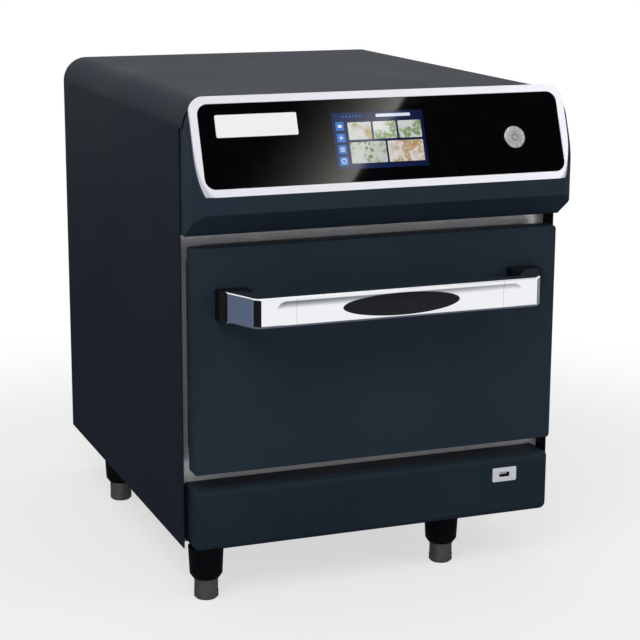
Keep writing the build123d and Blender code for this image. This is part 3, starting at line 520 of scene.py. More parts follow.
@dataclass(frozen=True)
class Moulded(Finish):
    """Moulded plastic or rubber with a fine spark-eroded skin."""

    roughness: float = 0.5
    skin: float = 1800.0
    relief: float = 0.00004
    gloss: float = 0.2
    drift: float = 0.18

    def build(self) -> bpy.types.Material:
        """The skin is two scales of noise; colour follows the coarser one faintly.

        Returns:
            The material, ready to be put on a piece.
        """
        kit = NodeKit(self.name)
        coarse = kit.noise(self.skin * 0.25, 3.0)
        fine = kit.noise(self.skin, 2.0)
        return kit.paint(
            Base_Color=kit.blend(coarse, self.shade(1 - self.drift), self.shade(1 + self.drift)),
            Roughness=(coarse - 0.5) * 0.14 + self.roughness,
            Specular_IOR_Level=self.gloss,
            Normal=kit.bump(coarse * 0.3 + fine * 0.7, self.relief),
        )


@dataclass(frozen=True)
class Mineral(Finish):
    """Wool, ceramic or board: two colours in specks and patches."""

    second: Colour = (0.5, 0.5, 0.5)
    speck: float = 400.0
    roughness: float = 0.8
    relief: float = 0.0004

    def build(self) -> bpy.types.Material:
        """Cell distances give specks, and slow noise gives patches between the two colours.

        Returns:
            The material, ready to be put on a piece.
        """
        kit = NodeKit(self.name)
        specks = kit.cells(self.speck)
        patches = kit.noise(self.speck * 0.12, 5.0)
        mask = (specks * 0.8 + patches * 0.6 - 0.3).eased(0.1, 0.6)
        return kit.paint(
            Base_Color=kit.blend(mask, self.colour, self.second),
            Roughness=(patches - 0.5) * 0.2 + self.roughness,
            Normal=kit.bump(specks * 0.5 + patches * 0.5, self.relief),
        )


@dataclass(frozen=True)
class LitFilm(Finish):
    """A lit part of the display: its colour glows evenly, a little brighter on one side."""

    second: Colour = (0.02, 0.05, 0.16)
    glow: float = 0.8
    centre: tuple[float, float, float] = (0.0, 0.0, 0.0)
    spread: float = 0.05
    cloud_scale: float = 40.0

    def build(self) -> bpy.types.Material:
        """The colour runs from the first to the second along the way across.

        Returns:
            The material, ready to be put on a piece.
        """
        kit = NodeKit(self.name)
        across = kit.parts(kit.moved(self.centre))[0]
        along = (across / self.spread).eased(-1.0, 1.0)
        cloud = kit.noise(self.cloud_scale, 2.0)
        colour = kit.blend(along * 0.8 + cloud * 0.2, self.colour, self.second)
        return kit.lit(colour, cloud, self.glow)


@dataclass(frozen=True)
class Picture(Finish):
    """A lit tile with an invented picture: soft blobs of three colours on a pale ground."""

    blobs: tuple[Colour, Colour, Colour] = ((0.1, 0.2, 0.05), (0.5, 0.5, 0.4), (0.3, 0.15, 0.05))
    scale: float = 160.0
    glow: float = 0.75

    def build(self) -> bpy.types.Material:
        """Cells bent by noise are coloured by a ramp, and slow noise clears part of the ground.

        Returns:
            The material, ready to be put on a piece.
        """
        kit = NodeKit(self.name)
        wander = kit.noise(self.scale * 0.5, 3.0)
        cell = kit.cells(self.scale)
        value = (cell * 0.9 + wander * 0.7) * 0.8
        stops = tuple(zip((0.18, 0.42, 0.6, 0.8), (*self.blobs, self.colour)))
        ground = kit.noise(self.scale * 0.25, 2.0).eased(0.42, 0.6)
        colour = kit.blend(ground, kit.ramp(value, stops), self.colour)
        return kit.lit(colour, wander, self.glow)


# Surfaces from numpy

@dataclass
class Shell:
    """A mesh as arrays: points, and faces as tuples of point numbers."""

    points: np.ndarray
    faces: list[tuple[int, ...]]

    def mapped(self, change: Callable[[np.ndarray], np.ndarray]) -> "Shell":
        """Give the shell with its points changed by a function of the whole array."""
        return Shell(change(self.points), self.faces)

    @staticmethod
    def joined(shells: Iterable["Shell"]) -> "Shell":
        """Give several shells as one, with the faces renumbered.

        Args:
            shells: the shells, in the order they are numbered.

        Returns:
            The one shell.
        """
        points: list[np.ndarray] = []
        faces: list[tuple[int, ...]] = []
        start = 0
        for shell in shells:
            points.append(shell.points)
            faces.extend(tuple(start + number for number in face) for face in shell.faces)
            start += len(shell.points)
        return Shell(np.concatenate(points), faces)

    @staticmethod
    def tube(grid: np.ndarray, capped: bool = True, looped: bool = False) -> "Shell":
        """Make a closed surface from rings of points.

        Args:
            grid: an array of rows by columns by 3; each row is a ring whose ends join.
            capped: close the first and last ring with a fan to its middle.
            looped: join the last ring to the first one.

        Returns:
            The shell. Point (row, column) has the number row * columns + column.
        """
        rows, columns, _ = grid.shape
        row = np.arange(rows if looped else rows - 1)[:, None]
        column = np.arange(columns)[None, :]
        beside = (column + 1) % columns
        above = (row + 1) % rows
        corners = (row * columns + column, row * columns + beside, above * columns + beside,
                   above * columns + column)
        quads = np.stack([np.broadcast_to(part, (len(row), columns)) for part in corners], axis=-1)
        faces = [tuple(quad) for quad in quads.reshape(-1, 4).tolist()]
        points = grid.reshape(-1, 3)
        if capped and not looped:
            ends = np.stack([grid[0].mean(axis=0), grid[-1].mean(axis=0)])
            first = len(points)
            points = np.concatenate([points, ends])
            for end, ring in ((first, 0), (first + 1, rows - 1)):
                start = ring * columns
                faces.extend(
                    (end, start + step, start + (step + 1) % columns) for step in range(columns)
                )
        return Shell(points, faces)


def rounded_outline(
    half_width: float, half_height: float, radius: float, steps: int = 8,
) -> np.ndarray:
    """Draw a rectangle with round corners.

    Each corner is a quarter circle about its own centre, which lies a radius inside both sides.

    Args:
        half_width: half the size along the first axis.
        half_height: half the size along the second axis.
        radius: the corners' radius.
        steps: points on each quarter circle, less one.

    Returns:
        An array of points by 2 that runs round once.
    """
    radius = max(min(radius, half_width, half_height), 1e-7)
    angles = np.linspace(0, math.pi / 2, steps + 1)
    quarter = np.arange(4)[:, None] * math.pi / 2 + angles[None, :]
    across = np.array([1, -1, -1, 1])[:, None] * (half_width - radius) + radius * np.cos(quarter)
    upward = np.array([1, 1, -1, -1])[:, None] * (half_height - radius) + radius * np.sin(quarter)
    return np.stack([across, upward], axis=-1).reshape(-1, 2)


def pad(
    half_width: float, half_height: float, radius: float, thickness: float, edge: float,
) -> Shell:
    """Make a flat pad with round corners and a bevelled front edge, facing local +Z.

    The rings run from the middle of the back over the rim to the middle of the front. A ring that
    is drawn in by an inset has its sizes and its corner radius smaller by that inset.

    Args:
        half_width: half the size along local X.
        half_height: half the size along local Y.
        radius: the corners' radius.
        thickness: the pad's thickness along local Z.
        edge: the front bevel's width.

    Returns:
        The closed shell with its back at local Z 0.
    """
    inner = 0.6 * min(half_width, half_height)
    insets = (inner, 0.0, 0.0, edge, inner)
    heights = (0.0, 0.0, thickness - edge, thickness, thickness)
    rings = []
    for inset, height in zip(insets, heights):
        ring = rounded_outline(half_width - inset, half_height - inset, radius - inset)
        rings.append(np.column_stack([ring, np.full(len(ring), height)]))
    return Shell.tube(np.stack(rings))


def centred(count: int, pitch: float) -> list[float]:
    """Give evenly pitched places whose middle is zero."""
    return [(number - (count - 1) / 2) * pitch for number in range(count)]


def arc_band(radius: float, width: float, start: float, sweep: float, thickness: float) -> Shell:
    """Make a flat arc, as of a printed ring, round local Z.

    Args:
        radius: the arc's middle radius.
        width: its width along the radius.
        start: where it starts, in radians.
        sweep: how far it turns, in radians.
        thickness: its thickness along local Z.

    Returns:
        The closed shell; its section is a rectangle carried along the arc.
    """
    steps = 40
    angles = np.linspace(start, start + sweep, steps)[:, None]
    reach = radius + width / 2 * np.array([-1, 1, 1, -1])[None, :]
    height = np.broadcast_to(thickness * np.array([0, 0, 1, 1]), (steps, 4))
    return Shell.tube(np.stack([reach * np.cos(angles), reach * np.sin(angles), height], axis=-1))


def make_piece(
    name: str, shell: Shell, finish: Finish, body: Body, smooth: float = 40.0,
    replaced: Sequence[str] = (),
) -> bpy.types.Object:
    """Put a shell into the scene as a finished piece of the oven.

    Args:
        name: the piece's name.
        shell: its mesh, in metres in the oven's frame.
        finish: its finish.
        body: the body that it rides on.
        smooth: edges that turn by less than this many degrees are shaded smooth.
        replaced: frame nodes that it stands for.

    Returns:
        The new object.
    """
    mesh = bpy.data.meshes.new(name)
    mesh.from_pydata(shell.points.tolist(), [], shell.faces)
    work = bmesh.new()
    work.from_mesh(mesh)
    bmesh.ops.remove_doubles(work, verts=work.verts, dist=1e-7)
    bmesh.ops.recalc_face_normals(work, faces=work.faces)
    work.to_mesh(mesh)
    work.free()
    mesh.shade_smooth()
    mesh.set_sharp_from_angle(angle=math.radians(smooth))
    return place_mesh(name, mesh, finish, body, replaced)


def place_mesh(
    name: str, mesh: bpy.types.Mesh, finish: Finish, body: Body, replaced: Sequence[str],
) -> bpy.types.Object:
    """Link a mesh as an object at the origin, give it its finish's material, declare its body and
    hide its replaced nodes.

    Args:
        name: the piece's name.
        mesh: its mesh, in metres in the oven's frame.
        finish: its finish.
        body: the body that it rides on.
        replaced: frame nodes that it stands for.

    Returns:
        The new object.
    """
    piece = bpy.data.objects.new(name, mesh)
    bpy.context.scene.collection.objects.link(piece)
    mesh.materials.clear()
    mesh.materials.append(finish.material())
    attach(piece, body.value)
    if replaced:
        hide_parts(*replaced)
    LOG.info("%s: %d faces on %s", name, len(mesh.polygons), body.value)
    return piece


def dress(finish: Finish, *nodes: str) -> None:
    """Give frame nodes a finish through their own material slots.

    Args:
        finish: the finish.
        nodes: the names of the frame nodes that wear it.
    """
    for name in nodes:
        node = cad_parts[name]
        if not node.material_slots:
            node.data.materials.append(finish.material())
        for slot in node.material_slots:
            slot.material = finish.material()
        LOG.info("%s: %s", name, finish.name)


def softened(node: str, name: str, finish: Finish, body: Body, width: float) -> bpy.types.Object:
    """Stand in for a frame node with a copy whose hard edges are broken.

    The copy's loose triangles are merged, a bevel rounds each edge that turns by more than 30
    degrees, and each point's shading follows its largest face. The bevel only takes material away.

    Args:
        node: the frame node.
        name: the new piece's name.
        finish: its finish.
        body: the body that it rides on.
        width: the bevel's width in metres.

    Returns:
        The new object.
    """
    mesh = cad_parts[node].data.copy()
    mesh.name = name
    work = bmesh.new()
    work.from_mesh(mesh)
    bmesh.ops.remove_doubles(work, verts=work.verts, dist=2e-6)
    work.to_mesh(mesh)
    work.free()
    mesh.shade_smooth()
    mesh.set_sharp_from_angle(angle=SHARP_ANGLE)
    piece = place_mesh(name, mesh, finish, body, (node,))
    bevel = piece.modifiers.new("edge", "BEVEL")
    bevel.width = width
    bevel.segments = 2
    bevel.limit_method = "ANGLE"
    bevel.angle_limit = SHARP_ANGLE
    weigh = piece.modifiers.new("shading", "WEIGHTED_NORMAL")
    weigh.weight = 100
    weigh.keep_sharp = True
    return piece


# Finishes of this oven

class Palette:
    """Every finish that the oven wears."""

    casing = PowderCoat("casing_powder_coat", "casing_paint", (0.0080, 0.0120, 0.0200), 0.56, 0.05)
    door = PowderCoat("door_powder_coat", "door_paint", (0.0150, 0.0240, 0.0350), 0.5, 0.06)
    # The plinth's paint is the door's paint at 0.8 times its colour: painted shade.
    base = PowderCoat("door_powder_coat_shaded", "door_paint", (0.0120, 0.0195, 0.0285), 0.5, 0.05)
    black_sheet = PowderCoat("black_sheet", "black_sheet", (0.004, 0.005, 0.006), 0.6, 0.08)
    frame_steel = BrushedMetal(
        "front_stainless", "stainless", (0.88, 0.88, 0.91), Axis.ACROSS, 0.26, metal=0.35,
    )
    liner_steel = BrushedMetal("liner_stainless", "stainless", (0.60, 0.59, 0.58), Axis.BACK, 0.36)
    plug_steel = BrushedMetal("plug_stainless", "stainless", (0.68, 0.67, 0.66), Axis.ACROSS, 0.3)
    arm_steel = BrushedMetal("hinge_stainless", "stainless", (0.56, 0.56, 0.57), Axis.UP, 0.3)
    bezel = BrushedMetal(
        "satin_bezel", "satin_aluminium", (0.78, 0.78, 0.84), Axis.ACROSS, 0.36,
        line_scale=3200.0, relief=0.000002, smear=0.01, metal=0.45,
    )
    port_plate = BrushedMetal(
        "port_plate_metal", "satin_aluminium", (0.80, 0.81, 0.86), Axis.UP, 0.34, metal=0.5,
    )
    glass = DarkGlass("panel_black_glass", "black_glass", (0.0016, 0.0016, 0.0020))
    plate = Moulded(
        "plain_white_plate", "white_plate", (0.80, 0.80, 0.81), 0.34, 900.0, 0.000004, 0.3, 0.02,
    )
    chrome = BrightPlate("handle_chrome", "chrome", (0.86, 0.87, 0.90))
    wire = BrightPlate("guard_wire", "chrome", (0.66, 0.67, 0.69), 0.14)
    plastic = Moulded("black_moulding", "black_plastic", (0.0045, 0.0055, 0.0070), 0.46, gloss=0.1)
    cups = Moulded("leg_cup_moulding", "black_plastic", (0.0020, 0.0028, 0.0036), 0.4, gloss=0.08)
    inlay = Moulded(
        "grip_inlay", "black_plastic", (0.0040, 0.0055, 0.0085), 0.34, 1200.0, 0.00002, 0.16,
    )
    feet = TurnedMetal("foot_turned_steel", "foot_steel", (0.18, 0.17, 0.16))
    seal = Moulded("seal_silicone", "seal_rubber", (0.014, 0.014, 0.015), 0.7, 900.0, 0.00008, 0.2)
    wool = Mineral(
        "mineral_wool", "wool", (0.62, 0.58, 0.44), (0.42, 0.38, 0.26), 700.0, 0.95, 0.001,
    )
    ceramic = Mineral(
        "tray_ceramic", "ceramic", (0.62, 0.56, 0.46), (0.40, 0.33, 0.25), 520.0, 0.5, 0.0001,
    )
    board = Mineral(
        "board_laminate", "circuit_board", (0.01, 0.13, 0.05), (0.02, 0.22, 0.08), 900.0, 0.4,
        0.0001,
    )
    cast = Mineral(
        "plain_works_metal", "cast_metal", (0.34, 0.34, 0.35), (0.24, 0.24, 0.25), 900.0, 0.5,
        0.0001,
    )
    spring = TurnedMetal("spring_wire", "spring_steel", (0.42, 0.42, 0.44), 0.3)
    screw = TurnedMetal("screw_heads", "screw_steel", (0.16, 0.16, 0.17), 0.34)


# The oven's sub-assemblies

@dataclass
class PanelPlane:
    """The leaning control panel as a plane: across, up the slope, and out towards the user."""

    lean: float = math.radians(20.8)
    origin: np.ndarray = field(
        default_factory=lambda: np.array([0.0, lowest("panel_bezel")[1], lowest("panel_bezel")[2]])
    )

    def points(self, local: np.ndarray) -> np.ndarray:
        """Take local points into the oven's frame.

        Args:
            local: points by 3, in millimetres: across, up the slope, proud of the bezel's face.

        Returns:
            Origin plus each local number times its direction, in metres.
        """
        across = np.array([1.0, 0.0, 0.0])
        upslope = np.array([0.0, math.sin(self.lean), math.cos(self.lean)])
        outward = np.array([0.0, -math.cos(self.lean), math.sin(self.lean)])
        turn = np.stack([across, upslope, outward])
        return self.origin + (local @ turn) * MM

    def at(self, shell: Shell, across: float, upslope: float, proud: float) -> Shell:
        """Place a shell that is drawn about local zero, in millimetres, on the panel."""
        return shell.mapped(lambda points: self.points(points + np.array([across, upslope, proud])))


@dataclass
class Casing:
    """The painted outer sheets, the steel front frame, the plinth and the service port."""

    edge: float = 0.0006
    plate_edge: float = 0.0002
    socket_wall: float = 3.0
    tongue: tuple[float, float, float] = (5.2, 0.9, 10.0)
    tongue_edge: float = 0.2
    contacts: int = 4
    contact_pitch: float = 2.2
    contact_half: tuple[float, float] = (0.45, 0.12)
    contact_edge: float = 0.05
    contact_short: float = 1.0
    contact_start: float = 0.4
    contact_drop: float = 0.1

    def build(self) -> None:
        """Dress the outer sheets and add the port's tongue with its contacts."""
        softened("casing_shell", "casing_cover", Palette.casing, Body.CABINET, self.edge)
        # The plinth wears the door's paint darkened to 0.8 times its colour: painted shade.
        softened("plinth_cover", "plinth_panel", Palette.base, Body.CABINET, self.edge)
        softened(
            "service_port_plate", "port_plate", Palette.port_plate, Body.CABINET, self.plate_edge,
        )
        dress(Palette.casing, "rear_panel")
        dress(Palette.black_sheet, "base_pan")
        dress(Palette.frame_steel, "front_frame")
        dress(Palette.plastic, "service_port_socket")
        self.build_tongue()

    def build_tongue(self) -> None:
        """Stand a pad on its back edge inside the socket, with contact strips under it."""
        half_width, half_height, length = self.tongue
        edge = self.tongue_edge
        tongue = self.stood(pad(half_width, half_height, edge, length, edge))
        make_piece("port_tongue", tongue, Palette.plate, Body.CABINET)
        edge = self.contact_edge
        strips = []
        for across in centred(self.contacts, self.contact_pitch):
            strip = pad(*self.contact_half, edge, length - self.contact_short, edge)
            strip.points += [across, -half_height - self.contact_drop, self.contact_start]
            strips.append(self.stood(strip))
        make_piece("port_contacts", Shell.joined(strips), Palette.port_plate, Body.CABINET)

    def stood(self, shell: Shell) -> Shell:
        """Turn local Z to face the front, scale to metres and move to the socket's back wall.

        Args:
            shell: a shell about local zero, in millimetres, whose local Z is its length.

        Returns:
            The shell in metres in the oven's frame.
        """
        centre = middle("service_port_socket")
        back = highest("service_port_socket")[1] - self.socket_wall * MM
        foot = np.array([centre[0], back, centre[2]])
        return shell.mapped(lambda points: foot + points[:, [0, 2, 1]] * [MM, -MM, MM])


@dataclass
class Legs:
    """Four tapered cups, each with a turned foot screwed into it."""

    edge: float = 0.0005
    names: tuple[str, ...] = ("front_left", "front_right", "rear_left", "rear_right")

    def build(self) -> None:
        """Dress the cups and the feet."""
        softened("leg_cups", "cup_mouldings", Palette.cups, Body.CABINET, self.edge)
        dress(Palette.feet, *(f"foot_{name}" for name in self.names))


@dataclass
class Screen:
    """What the lit display shows: invented pictures in tiles, round-cornered keys and a bar."""

    plane: PanelPlane
    centre: tuple[float, float] = (-7.7, 53.5)
    face: float = -1.1
    relief: float = 0.12
    corner: float = 1.0
    key_size: float = 9.4
    key_pitch: float = 12.6
    key_column: float = -44.5
    key_shift: float = -3.0
    keys: int = 4
    mark_radius: float = 2.4
    mark_span: float = 5.2
    mark_stroke: float = 0.8
    cross_stroke: float = 0.9
    block: tuple[float, float] = (4.4, 3.2)
    head_row: float = 26.2
    bar_middle: float = 18.0
    bar: tuple[float, float] = (40.0, 3.4)
    dots: int = 6
    dot_size: float = 1.8
    dot_start: float = -40.0
    dot_pitch: float = 4.0
    tile_rows: tuple[tuple[float, float, int], ...] = ((10.2, 19.0, 3), (-13.4, 23.0, 2))
    tiles_left: float = -35.5
    tiles_right: float = 49.0
    tile_gap: float = 2.2

    def spot(self, across: float, upslope: float, lift: float) -> tuple[float, float, float]:
        """Give a place on the display in the panel's own numbers, in millimetres."""
        return (self.centre[0] + across, self.centre[1] + upslope, self.face + lift)

    def pad_at(
        self, across: float, upslope: float, size: tuple[float, float], lift: float = 0.0,
    ) -> Shell:
        """Make a thin pad on the display's face, of the given width and height in millimetres."""
        shape = pad(size[0] / 2, size[1] / 2, self.corner, self.relief, self.relief / 3)
        return self.plane.at(shape, *self.spot(across, upslope, lift))

    def build(self) -> None:
        """Make the keys, their marks, the bar with its field, and the picture tiles."""
        spot = tuple(middle("touch_display"))
        ground = LitFilm(
            "screen_ground", "display", (0.010, 0.018, 0.075), (0.004, 0.008, 0.035), 0.9, spot,
            0.053,
        )
        dress(ground, "touch_display")
        key_film = LitFilm(
            "screen_keys", "display", (0.03, 0.16, 0.50), (0.02, 0.10, 0.36), 0.85, spot, 0.05,
        )
        white_film = LitFilm(
            "screen_marks", "display", (0.62, 0.68, 0.80), (0.55, 0.60, 0.72), 0.9, spot, 0.05,
        )
        places = [place + self.key_shift for place in centred(self.keys, self.key_pitch)]
        size = (self.key_size, self.key_size)
        keys = [self.pad_at(self.key_column, place, size) for place in places]
        make_piece("screen_keys", Shell.joined(keys), key_film, Body.CABINET)
        marks = self.marks(places)
        marks.append(self.pad_at(self.bar_middle, self.head_row, self.bar))
        make_piece("screen_marks", Shell.joined(marks), white_film, Body.CABINET)
        size = (self.dot_size, self.dot_size)
        columns = [self.dot_start + self.dot_pitch * step for step in range(self.dots)]
        dots = [self.pad_at(column, self.head_row, size) for column in columns]
        make_piece("screen_dots", Shell.joined(dots), key_film, Body.CABINET)
        self.build_tiles()

    def marks(self, places: Sequence[float]) -> list[Shell]:
        """Draw one plain mark on each key: a ring, three bars, a cross and a block.

        Args:
            places: how far up the slope each key's middle is, in millimetres.

        Returns:
            The marks as shells, one or more to a key.
        """
        lift, column = self.relief, self.key_column
        span, stroke, cross = self.mark_span, self.mark_stroke, self.cross_stroke
        ring = arc_band(self.mark_radius, stroke, 0.0, math.tau * 0.98, lift)
        shells = [self.plane.at(ring, *self.spot(column, places[0], lift))]
        for step in (-1.8, 0.0, 1.8):
            shells.append(self.pad_at(column, places[1] + step, (span, stroke), lift))
        shells.append(self.pad_at(column, places[2], (span, cross), lift))
        shells.append(self.pad_at(column, places[2], (cross, span), lift * 1.05))
        shells.append(self.pad_at(column, places[3], self.block, lift))
        return shells

    def build_tiles(self) -> None:
        """Set the tiles in rows of equal widths between the keys and the display's right edge."""
        looks = iter((
            (170.0, (0.60, 0.62, 0.60), (0.07, 0.20, 0.05), (0.36, 0.42, 0.26), (0.45, 0.30, 0.12)),
            (130.0, (0.66, 0.66, 0.64), (0.30, 0.26, 0.20), (0.55, 0.52, 0.46), (0.16, 0.30, 0.10)),
            (200.0, (0.56, 0.60, 0.58), (0.40, 0.12, 0.05), (0.50, 0.40, 0.20), (0.10, 0.22, 0.08)),
            (240.0, (0.50, 0.54, 0.50), (0.03, 0.08, 0.03), (0.10, 0.16, 0.08), (0.30, 0.34, 0.22)),
            (150.0, (0.64, 0.62, 0.58), (0.12, 0.24, 0.08), (0.50, 0.46, 0.34), (0.42, 0.22, 0.08)),
        ))
        width = self.tiles_right - self.tiles_left
        number = 0
        for upslope, height, count in self.tile_rows:
            tile = (width - self.tile_gap * (count - 1)) / count
            for step in range(count):
                scale, ground, *blobs = next(looks)
                number += 1
                film = Picture(f"tile_picture_{number}", "display", ground, tuple(blobs), scale)
                across = self.tiles_left + tile / 2 + step * (tile + self.tile_gap)
                shell = self.pad_at(across, upslope, (tile, height))
                make_piece(f"screen_tile_{number}", shell, film, Body.CABINET)


@dataclass
class PowerKey:
    """The round push button: brushed ring, brushed cap and an engraved on-off mark."""

    plane: PanelPlane
    centre: tuple[float, float] = (151.0, 48.8)
    cap_face: float = 0.7
    mark_radius: float = 3.6
    mark_width: float = 0.7
    mark_gap: float = math.radians(64)
    mark_relief: float = 0.1
    bar_half: float = 2.1
    bar_rise: float = 2.9
    ring_edge: float = 0.0002

    def build(self) -> None:
        """Dress ring and cap and set the mark on the cap's face."""
        spot = tuple(self.plane.points(np.array([[*self.centre, 0.0]]))[0])
        tilt = math.pi / 2 - self.plane.lean
        ring = DiscMetal("button_ring_metal", "stainless", (0.46, 0.46, 0.48), spot, tilt)
        cap = DiscMetal("button_cap_metal", "stainless", (0.33, 0.33, 0.35), spot, tilt, 0.34)
        ink = Moulded("button_mark_ink", "black_plastic", (0.02, 0.02, 0.024), 0.5)
        softened("button_ring", "button_bezel", ring, Body.CABINET, self.ring_edge)
        dress(cap, "power_button")
        width, gap, relief = self.mark_width, self.mark_gap, self.mark_relief
        arc = arc_band(self.mark_radius, width, (math.pi + gap) / 2, math.tau - gap, relief)
        bar = pad(width / 2, self.bar_half, 0.2, relief, 0.03)
        bar.points += [0, self.bar_rise, 0]
        mark = self.plane.at(Shell.joined([arc, bar]), *self.centre, self.cap_face)
        make_piece("button_mark", mark, ink, Body.BUTTON)


@dataclass
class ControlHood:
    """The hood over the door: painted housing, satin bezel, black glass and a bare plate."""

    edge: float = 0.0012
    bezel_edge: float = 0.0008
    plate_edge: float = 0.0003
    plane: PanelPlane = field(default_factory=PanelPlane)

    def build(self) -> None:
        """Dress the hood and build what sits in its panel."""
        softened("hood_housing", "hood_cover", Palette.door, Body.CABINET, self.edge)
        softened("panel_bezel", "bezel_ring", Palette.bezel, Body.CABINET, self.bezel_edge)
        softened("badge_plate", "bare_plate", Palette.plate, Body.CABINET, self.plate_edge)
        dress(Palette.glass, "panel_glass")
        dress(Palette.board, "control_board")
        Screen(self.plane).build()
        PowerKey(self.plane).build()


@dataclass
class Handle:
    """The bright handle: a bar and two slanted ends with one long scallop, and an oval inlay."""

    half_length: float = 184.0
    corner_start: float = 160.0
    corner_end: float = 166.5
    corner_run: float = 6.0
    back_corner: float = 146.0
    seam: float = 120.0
    seam_gap: float = 0.12
    top_radius: float = 2.0
    low_radius: float = 5.0
    scallop_half: float = 144.0
    scallop_high: float = 12.6
    scallop_depth: float = 2.1
    inlay_half: float = 68.0
    inlay_high: float = 12.3
    ring_points: int = 96
    thinnest: float = 0.1
    foot_gap: float = 0.2
    feet_edge: float = 0.0006
    smooth: float = 50.0

    def __post_init__(self) -> None:
        """Read the handle's place from the frame, in millimetres."""
        low, high = lowest("handle_bar") / MM, highest("handle_bar") / MM
        self.front, self.back = low[1], high[1]
        self.root = highest("handle_ends")[1] / MM
        self.low, self.high = low[2], high[2]
        self.mid = (self.low + self.high) / 2

    def front_line(self, across: np.ndarray) -> np.ndarray:
        """Give Y of the front in plan: straight, round the corner, then slanting to the foot.

        Args:
            across: X in millimetres.

        Returns:
            Y in millimetres.
        """
        reach = np.abs(across)
        stations = [0.0, self.corner_start, self.corner_end, self.half_length]
        places = [self.front, self.front, self.front + self.corner_run, self.root]
        return np.interp(reach, stations, places)

    def back_line(self, across: np.ndarray) -> np.ndarray:
        """Give Y of the back in plan: straight, slanting to the foot, then flat on the foot.

        Args:
            across: X in millimetres.

        Returns:
            Y in millimetres.
        """
        reach = np.abs(across)
        stations = [0.0, self.back_corner, self.corner_end, self.half_length]
        return np.interp(reach, stations, [self.back, self.back, self.root, self.root])

    def scallop(self, across: np.ndarray, upward: np.ndarray) -> np.ndarray:
        """Give how deep the front is hollowed out at a point.

        The hollow is a trough: its depth falls with the square of the height, and it runs out
        towards both ends, where the height counts from the middle of a round end.

        Args:
            across: X in millimetres.
            upward: height above the handle's middle in millimetres.

        Returns:
            The depth in millimetres.
        """
        straight = self.scallop_half - self.scallop_high
        beyond = np.maximum(np.abs(across) - straight, 0.0)
        share = np.clip(np.hypot(beyond, upward) / self.scallop_high, 0.0, 1.0)
        return self.scallop_depth * (1.0 - share ** 2)

    def section(self) -> np.ndarray:
        """Give the section's outline before its corners are rounded.

        Returns:
            Points by 2, front side first. The first number runs from -1 at the front to 1 at the
            back, the second from -1 at the bottom to 1 at the top.
        """
        side = np.linspace(-1.0, 1.0, self.ring_points // 3, endpoint=False)
        end = np.linspace(-1.0, 1.0, self.ring_points // 6, endpoint=False)
        front = np.column_stack([np.full_like(side, -1.0), side])
        top = np.column_stack([end, np.full_like(end, 1.0)])
        back = np.column_stack([np.full_like(side, 1.0), -side])
        bottom = np.column_stack([-end, np.full_like(end, -1.0)])
        return np.concatenate([front, top, back, bottom])

    def surface(self, stations: np.ndarray) -> Shell:
        """Carry the section along the handle.

        At each X the section is a rectangle from the front line to the back line. Its corners are
        rounded: the part of a point that lies past the corner circle's centre is shortened until
        its length is its larger component. The front then sinks by the scallop, and the first
        eighth of the depth behind it by a share that falls to nothing.

        Args:
            stations: the X values of the sections, in millimetres.

        Returns:
            The closed shell in metres.
        """
        ring = self.section()
        front = self.front_line(stations)[:, None]
        back = self.back_line(stations)[:, None]
        half_depth = np.maximum(back - front, self.thinnest) / 2
        half_high = (self.high - self.low) / 2
        radius = np.where(ring[:, 1] > 0, self.top_radius, self.low_radius)[None, :]
        radius = np.minimum(radius, half_depth * 0.98)
        deep = ring[None, :, 0] * half_depth
        tall = np.broadcast_to(ring[None, :, 1] * half_high, deep.shape)
        past_deep = np.sign(deep) * np.maximum(np.abs(deep) - (half_depth - radius), 0.0)
        past_tall = np.sign(tall) * np.maximum(np.abs(tall) - (half_high - radius), 0.0)
        reach = np.hypot(past_deep, past_tall)
        larger = np.maximum(np.abs(past_deep), np.abs(past_tall))
        shrink = np.where(reach > 1e-9, larger / np.maximum(reach, 1e-9), 1.0)
        deep = deep - past_deep * (1 - shrink)
        tall = tall - past_tall * (1 - shrink)
        across = np.broadcast_to(stations[:, None], deep.shape)
        facing = np.clip(-ring[None, :, 0] * 4 - 3, 0.0, 1.0)
        sink = self.scallop(across, tall) * facing
        y = (front + back) / 2 + deep + sink
        z = self.mid + tall
        return Shell.tube(np.stack([across, y, z], axis=-1) * MM)

    def build(self) -> None:
        """Make the bar, both ends and the inlay, and dress the feet and screws."""
        inner = self.seam - self.seam_gap
        bar = self.surface(np.linspace(-inner, inner, 161))
        make_piece("grip_bar", bar, Palette.chrome, Body.DOOR, self.smooth, ("handle_bar",))
        near = np.linspace(self.seam + self.seam_gap, self.corner_start, 36, endpoint=False)
        turn = np.linspace(self.corner_start, self.corner_end, 10, endpoint=False)
        slant = np.linspace(self.corner_end, self.half_length - self.foot_gap, 24)
        side = np.concatenate([near, turn, slant])
        ends = Shell.joined([self.surface(side), self.surface(-side[::-1])])
        make_piece("grip_ends", ends, Palette.chrome, Body.DOOR, self.smooth, ("handle_ends",))
        self.build_inlay()
        softened("handle_feet", "grip_feet", Palette.plastic, Body.DOOR, self.feet_edge)
        dress(Palette.screw, "handle_screws")

    def build_inlay(self) -> None:
        """Make the oval inlay from rings of an ellipse.

        They follow the scallop's floor and stand proud of it by a crown that falls to the rim.
        """
        angles = np.linspace(0, math.tau, 96, endpoint=False)[None, :]
        shares = np.array([0.02, 0.3, 0.6, 0.85, 0.95, 0.985, 1.0, 1.0])[:, None]
        proud = np.array([0.55, 0.55, 0.5, 0.4, 0.28, 0.15, -0.05, -0.5])[:, None]
        across = shares * self.inlay_half * np.cos(angles)
        upward = shares * self.inlay_high * np.sin(angles)
        y = self.front + self.scallop(across, upward) - proud
        shell = Shell.tube(np.stack([across, y, self.mid + upward], axis=-1) * MM)
        make_piece("grip_inlay", shell, Palette.inlay, Body.DOOR, self.smooth, ("handle_inlay",))


